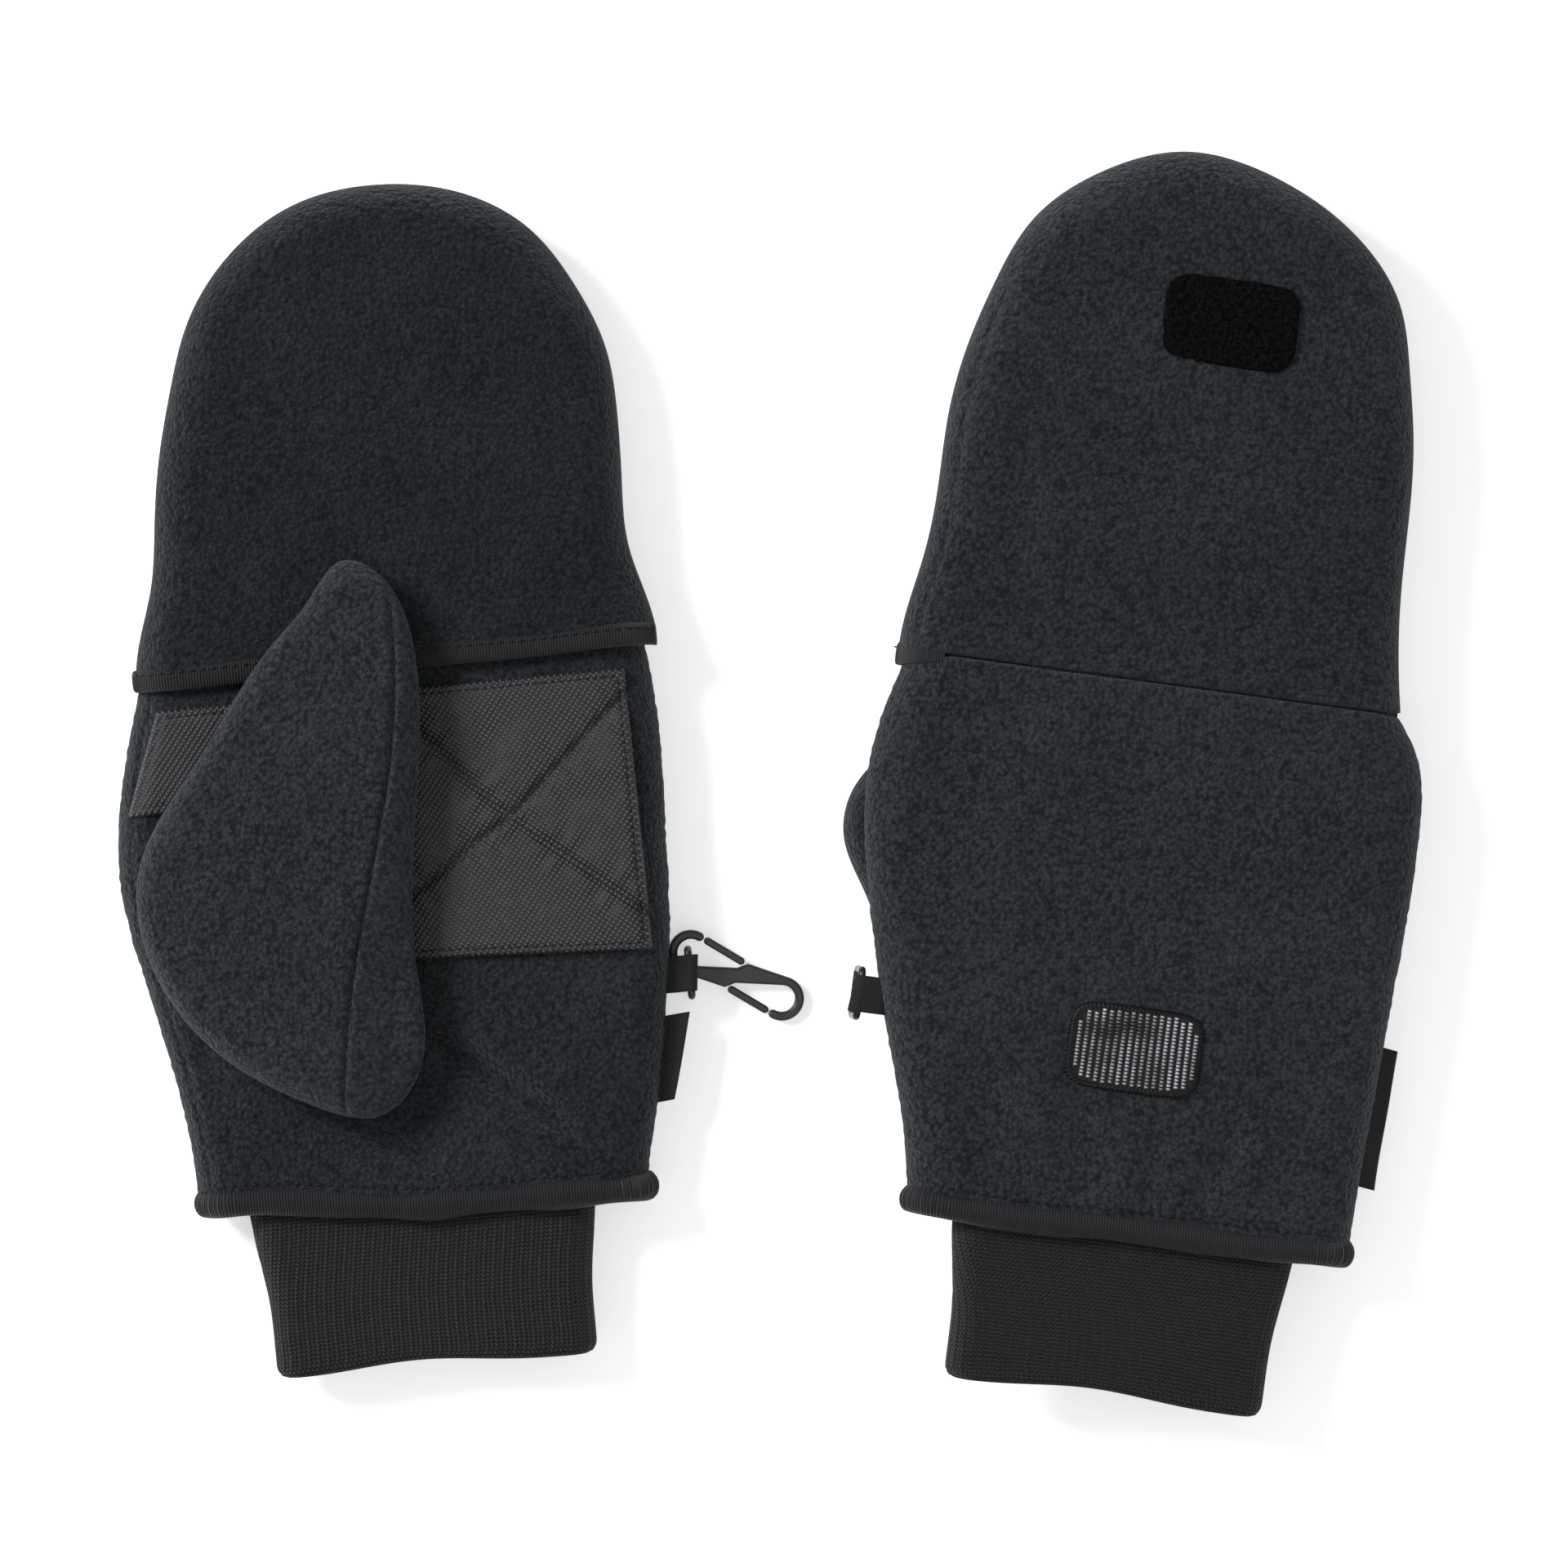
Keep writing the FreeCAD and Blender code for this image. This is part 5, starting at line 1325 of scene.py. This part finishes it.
# ---------------------------------------------------------------- webbing and labels
def build_webbing(side):
    """A band of webbing folded round the ring's wire and sewn into the side seam."""
    out = 1 if side == "left" else -1
    wire = joint(side + "_ring_swing")["pos_m"]
    origin, across, along, up = mitten_axes(side)
    rel = Vector(wire) - origin
    wx, wy = rel.dot(across) / MM, rel.dot(along) / MM
    wz = UP[side] * rel.dot(up) / MM
    root = float(glove_sides(side, np.array([wy]))[0 if side == "right" else 1][0]) - out * 1.8
    inner, thick = 1.15, .85
    angles = np.linspace(-math.pi / 2, math.pi / 2, 15)

    def section(radius, squeeze):
        turn = [(wx + out * radius * math.cos(a), wz + radius * math.sin(a)) for a in angles]
        return [(root, wz - squeeze)] + [(root + (wx - root) * s, wz - squeeze - (radius - squeeze) * s ** 1.5)
                                          for s in (.3, .6, .85)] + turn \
            + [(root + (wx - root) * s, wz + squeeze + (radius - squeeze) * s ** 1.5) for s in (.85, .6, .3)] \
            + [(root, wz + squeeze)]

    outer, inside = section(inner + thick, 1.5), section(inner, .35)
    loop = np.array(outer + inside[::-1])
    ys = np.linspace(wy - 4.45, wy + 4.45, 30)
    run = np.r_[0, np.cumsum(np.linalg.norm(np.diff(loop, axis=0), axis=1))]
    run = np.r_[run, run[-1] + .85]
    grid = []
    for y in ys:
        ease = 1 - .10 * abs((y - wy) / 4.45) ** 6
        grid.append(np.stack([loop[:, 0] + (loop[:, 0] - root) * .012 * (y - wy) * (1 if side == "left" else -.9),
                              np.full(len(loop), y), wz + (loop[:, 1] - wz) * ease], -1))
    grid = np.array(grid)
    uv = np.stack(np.broadcast_arrays(run[None], ys[:, None]), -1)
    cloth = Cloth()
    cloth.add(grid, uv, ring=True)
    half = len(outer)
    for k, turned in ((0, True), (-1, False)):
        ring = grid[k]
        cloth.add(np.array([ring[:half], ring[half:][::-1]]), turned=turned)
    weave = woven_finish("webbing", colour("webbing"), .62, .8)
    piece = flip_if_inward(cloth.finish(side + "_webbing_band", side, weave))
    return settle(piece, "gloves", "webbing", side + "_webbing_loop")


def build_label(side):
    """A folded cloth label sewn into the side seam. It carries no text."""
    length = 21.5 if side == "left" else 35.0
    ys = np.linspace(16.7, 16.3 + length, 60)
    sides = glove_sides(side, ys)
    edge = sides[1]
    q = np.linspace(0, 1, 16)
    share = (ys - ys[0]) / length
    reach = 4.3 + (1.9 * share if side == "left" else -.5 * share)
    x = (edge - 1.8)[:, None] + (reach + 1.8)[:, None] * q
    y = ys[:, None] + (q * (.6 if side == "left" else -.8))[None]
    bend = (.5 * np.sin(share * 3.1 + .4)[:, None] + .25 * np.sin(share * 9)[:, None]) * q ** 2 + .25 * np.sin(q * 2.5)
    middle = sizes("glove_thick") / 2
    thin = .34 * np.ones_like(q)
    thin[-1] = .12
    top = np.stack([x, y, middle + bend + thin], -1)
    low = np.stack([x, y, middle + bend - thin], -1)
    uv = np.stack([x - edge[:, None], y * np.ones_like(x)], -1)
    cloth = Cloth()
    cloth.add(top, uv)
    cloth.add(low, uv, turned=True)
    for a, b, turned in ((top[0], low[0], True), (top[-1], low[-1], False),
                         (top[:, -1], low[:, -1], True), (top[:, 0], low[:, 0], False)):
        cloth.add(np.array([a, b]), turned=turned)
    piece = cloth.finish(side + "_seam_label", side, woven_finish("label_cloth", colour("label"), .42, .62))
    settle(piece, "gloves", "label_cloth", side + "_side_label")
    seam = Cloth()
    for s in np.arange(ys[0] + .8, ys[-1] - 1.6, 2.0):
        ex = float(np.interp(s, ys, edge)) + 1.1
        d = middle + .62
        seam.thread((ex, s, d), (ex, s + 1.3, d), .17, (0, 0, 1))
    return settle(seam.finish(side + "_label_stitches", side, thread_finish()), "gloves", "label_cloth")


# ---------------------------------------------------------------- stage
def soft_light(name, place, aim, size, energy, tint=(1, 1, 1)):
    lamp = bpy.data.lights.new(name, "AREA")
    lamp.shape, lamp.size, lamp.energy, lamp.color = "SQUARE", size, energy, tint
    made = bpy.data.objects.new(name, lamp)
    bpy.context.scene.collection.objects.link(made)
    made.location = place
    made.rotation_euler = (Vector(aim) - Vector(place)).to_track_quat("-Z", "Y").to_euler()


def build_stage():
    scene = bpy.context.scene
    bpy.ops.object.select_all(action="DESELECT")
    low, high = CAD_BOX
    bpy.ops.mesh.primitive_plane_add(size=6.0, location=((low.x + high.x) / 2, (low.y + high.y) / 2, 0))
    floor = bpy.context.active_object
    floor.name = "table_top"
    base = colour("floor")
    f = Finish("table_white", base, .75, **{"Specular IOR Level": .2})
    if f.fresh:
        f.paint(f.mix(f.noise(3), tuple(c * .99 for c in base), base))
        f.shader.inputs["Emission Color"].default_value = (1, 1, 1, 1)
        f.shader.inputs["Emission Strength"].default_value = .48
    floor.data.materials.append(f.material)
    world = bpy.data.worlds.new("studio")
    scene.world = world
    world.use_nodes = True
    backdrop = world.node_tree.nodes["Background"]
    backdrop.inputs["Color"].default_value = (1, 1, 1, 1)
    backdrop.inputs["Strength"].default_value = .44
    soft_light("key_light", (-1.0, .55, 1.0), (0, 0, 0), .42, 18.0)
    soft_light("fill_light", (.5, -.4, 1.5), (0, 0, 0), 1.3, 3.5)
    scene.view_settings.view_transform = "Standard"
    scene.view_settings.look = "None"
    # The camera looks straight down at the middle of the pair.
    span, height = .384, 1.7
    camera = bpy.data.cameras.new("camera")
    camera.sensor_width, camera.lens = 36.0, 36.0 * (height - .016) / span
    made = bpy.data.objects.new("camera", camera)
    scene.collection.objects.link(made)
    made.location = ((low.x + high.x) / 2 + .0035, (low.y + high.y) / 2 - .0005, height)
    scene.camera = made


def finish_hardware():
    """Better surfaces for the rings, the clip and its gates, whose shapes are right."""
    for name in ("left_wire_ring", "right_wire_ring"):
        dress(name, wire_finish())
    for name in ("clip_frame", "clip_front_gate", "clip_rear_gate"):
        dress(name, moulded_finish())


def dress(name, material):
    node = frame["nodes"][name]
    if not node.data.materials:
        node.data.materials.append(material)
    for slot in node.material_slots:
        slot.material = material


# ---------------------------------------------------------------- operators
def both(build):
    for side in SIDES:
        build(side)


class MITTENS_OT_gloves(bpy.types.Operator):
    """Builds the fleece tubes of both gloves"""

    bl_idname, bl_label = "mittens.gloves", "Glove shells"

    def execute(self, context):
        both(build_glove)
        return {"FINISHED"}


class MITTENS_OT_caps(bpy.types.Operator):
    """Builds the caps and the strips that join them to the gloves"""

    bl_idname, bl_label = "mittens.caps", "Caps"

    def execute(self, context):
        both(build_cap)
        both(build_fold)
        return {"FINISHED"}


class MITTENS_OT_bindings(bpy.types.Operator):
    """Builds the ribbed bindings of the caps' hems"""

    bl_idname, bl_label = "mittens.bindings", "Cap bindings"

    def execute(self, context):
        both(build_binding)
        return {"FINISHED"}


class MITTENS_OT_thumbs(bpy.types.Operator):
    """Builds the thumbs and the gussets at their roots"""

    bl_idname, bl_label = "mittens.thumbs", "Thumbs"

    def execute(self, context):
        both(build_thumb)
        return {"FINISHED"}


class MITTENS_OT_patches(bpy.types.Operator):
    """Builds the quilted grip patches on the palms"""

    bl_idname, bl_label = "mittens.patches", "Grip patches"

    def execute(self, context):
        both(build_patch)
        return {"FINISHED"}


class MITTENS_OT_knits(bpy.types.Operator):
    """Builds the knit cuffs and the finger stalls"""

    bl_idname, bl_label = "mittens.knits", "Cuffs and stalls"

    def execute(self, context):
        both(build_cuff)
        both(build_stalls)
        return {"FINISHED"}


class MITTENS_OT_hems(bpy.types.Operator):
    """Builds the rolled wrist hems and their stitches"""

    bl_idname, bl_label = "mittens.hems", "Rolled wrist hems"

    def execute(self, context):
        both(build_piping)
        return {"FINISHED"}


class MITTENS_OT_closures(bpy.types.Operator):
    """Builds the hook and loop patches on the backs"""

    bl_idname, bl_label = "mittens.closures", "Hook and loop patches"

    def execute(self, context):
        both(build_hook)
        both(build_loop)
        return {"FINISHED"}


class MITTENS_OT_trims(bpy.types.Operator):
    """Builds the hanging loops and the side labels"""

    bl_idname, bl_label = "mittens.trims", "Webbing and labels"

    def execute(self, context):
        both(build_webbing)
        both(build_label)
        return {"FINISHED"}


class MITTENS_OT_hardware(bpy.types.Operator):
    """Gives the rings and the clip their surfaces"""

    bl_idname, bl_label = "mittens.hardware", "Rings and clip"

    def execute(self, context):
        finish_hardware()
        return {"FINISHED"}


class MITTENS_OT_stage(bpy.types.Operator):
    """Sets the table, the lights and the camera"""

    bl_idname, bl_label = "mittens.stage", "Stage"

    def execute(self, context):
        build_stage()
        return {"FINISHED"}


OPERATORS = (MITTENS_OT_stage, MITTENS_OT_gloves, MITTENS_OT_caps, MITTENS_OT_bindings, MITTENS_OT_thumbs,
             MITTENS_OT_patches, MITTENS_OT_knits, MITTENS_OT_hems, MITTENS_OT_closures, MITTENS_OT_trims,
             MITTENS_OT_hardware)


class MITTENS_PT_panel(bpy.types.Panel):
    """Lists the mittens' pieces, sizes and colours"""

    bl_idname, bl_label = "MITTENS_PT_panel", "Flip-Top Mittens"
    bl_space_type, bl_region_type, bl_category = "VIEW_3D", "UI", "Mittens"

    def draw(self, context):
        for operator in OPERATORS:
            self.layout.operator(operator.bl_idname)
        for group in (context.scene.mitten_sizes, context.scene.mitten_colours):
            box = self.layout.box()
            for name in type(group).__annotations__:
                box.prop(group, name)


CLASSES = (MittenSizes, MittenColours, *OPERATORS, MITTENS_PT_panel)


def register():
    for cls in CLASSES:
        bpy.utils.register_class(cls)
    bpy.types.Scene.mitten_sizes = bpy.props.PointerProperty(type=MittenSizes)
    bpy.types.Scene.mitten_colours = bpy.props.PointerProperty(type=MittenColours)


def unregister():
    del bpy.types.Scene.mitten_colours
    del bpy.types.Scene.mitten_sizes
    for cls in reversed(CLASSES):
        bpy.utils.unregister_class(cls)


def main():
    register()
    for operator in OPERATORS:
        group, name = operator.bl_idname.split(".")
        getattr(getattr(bpy.ops, group), name)()


if __name__ == "__main__":
    main()
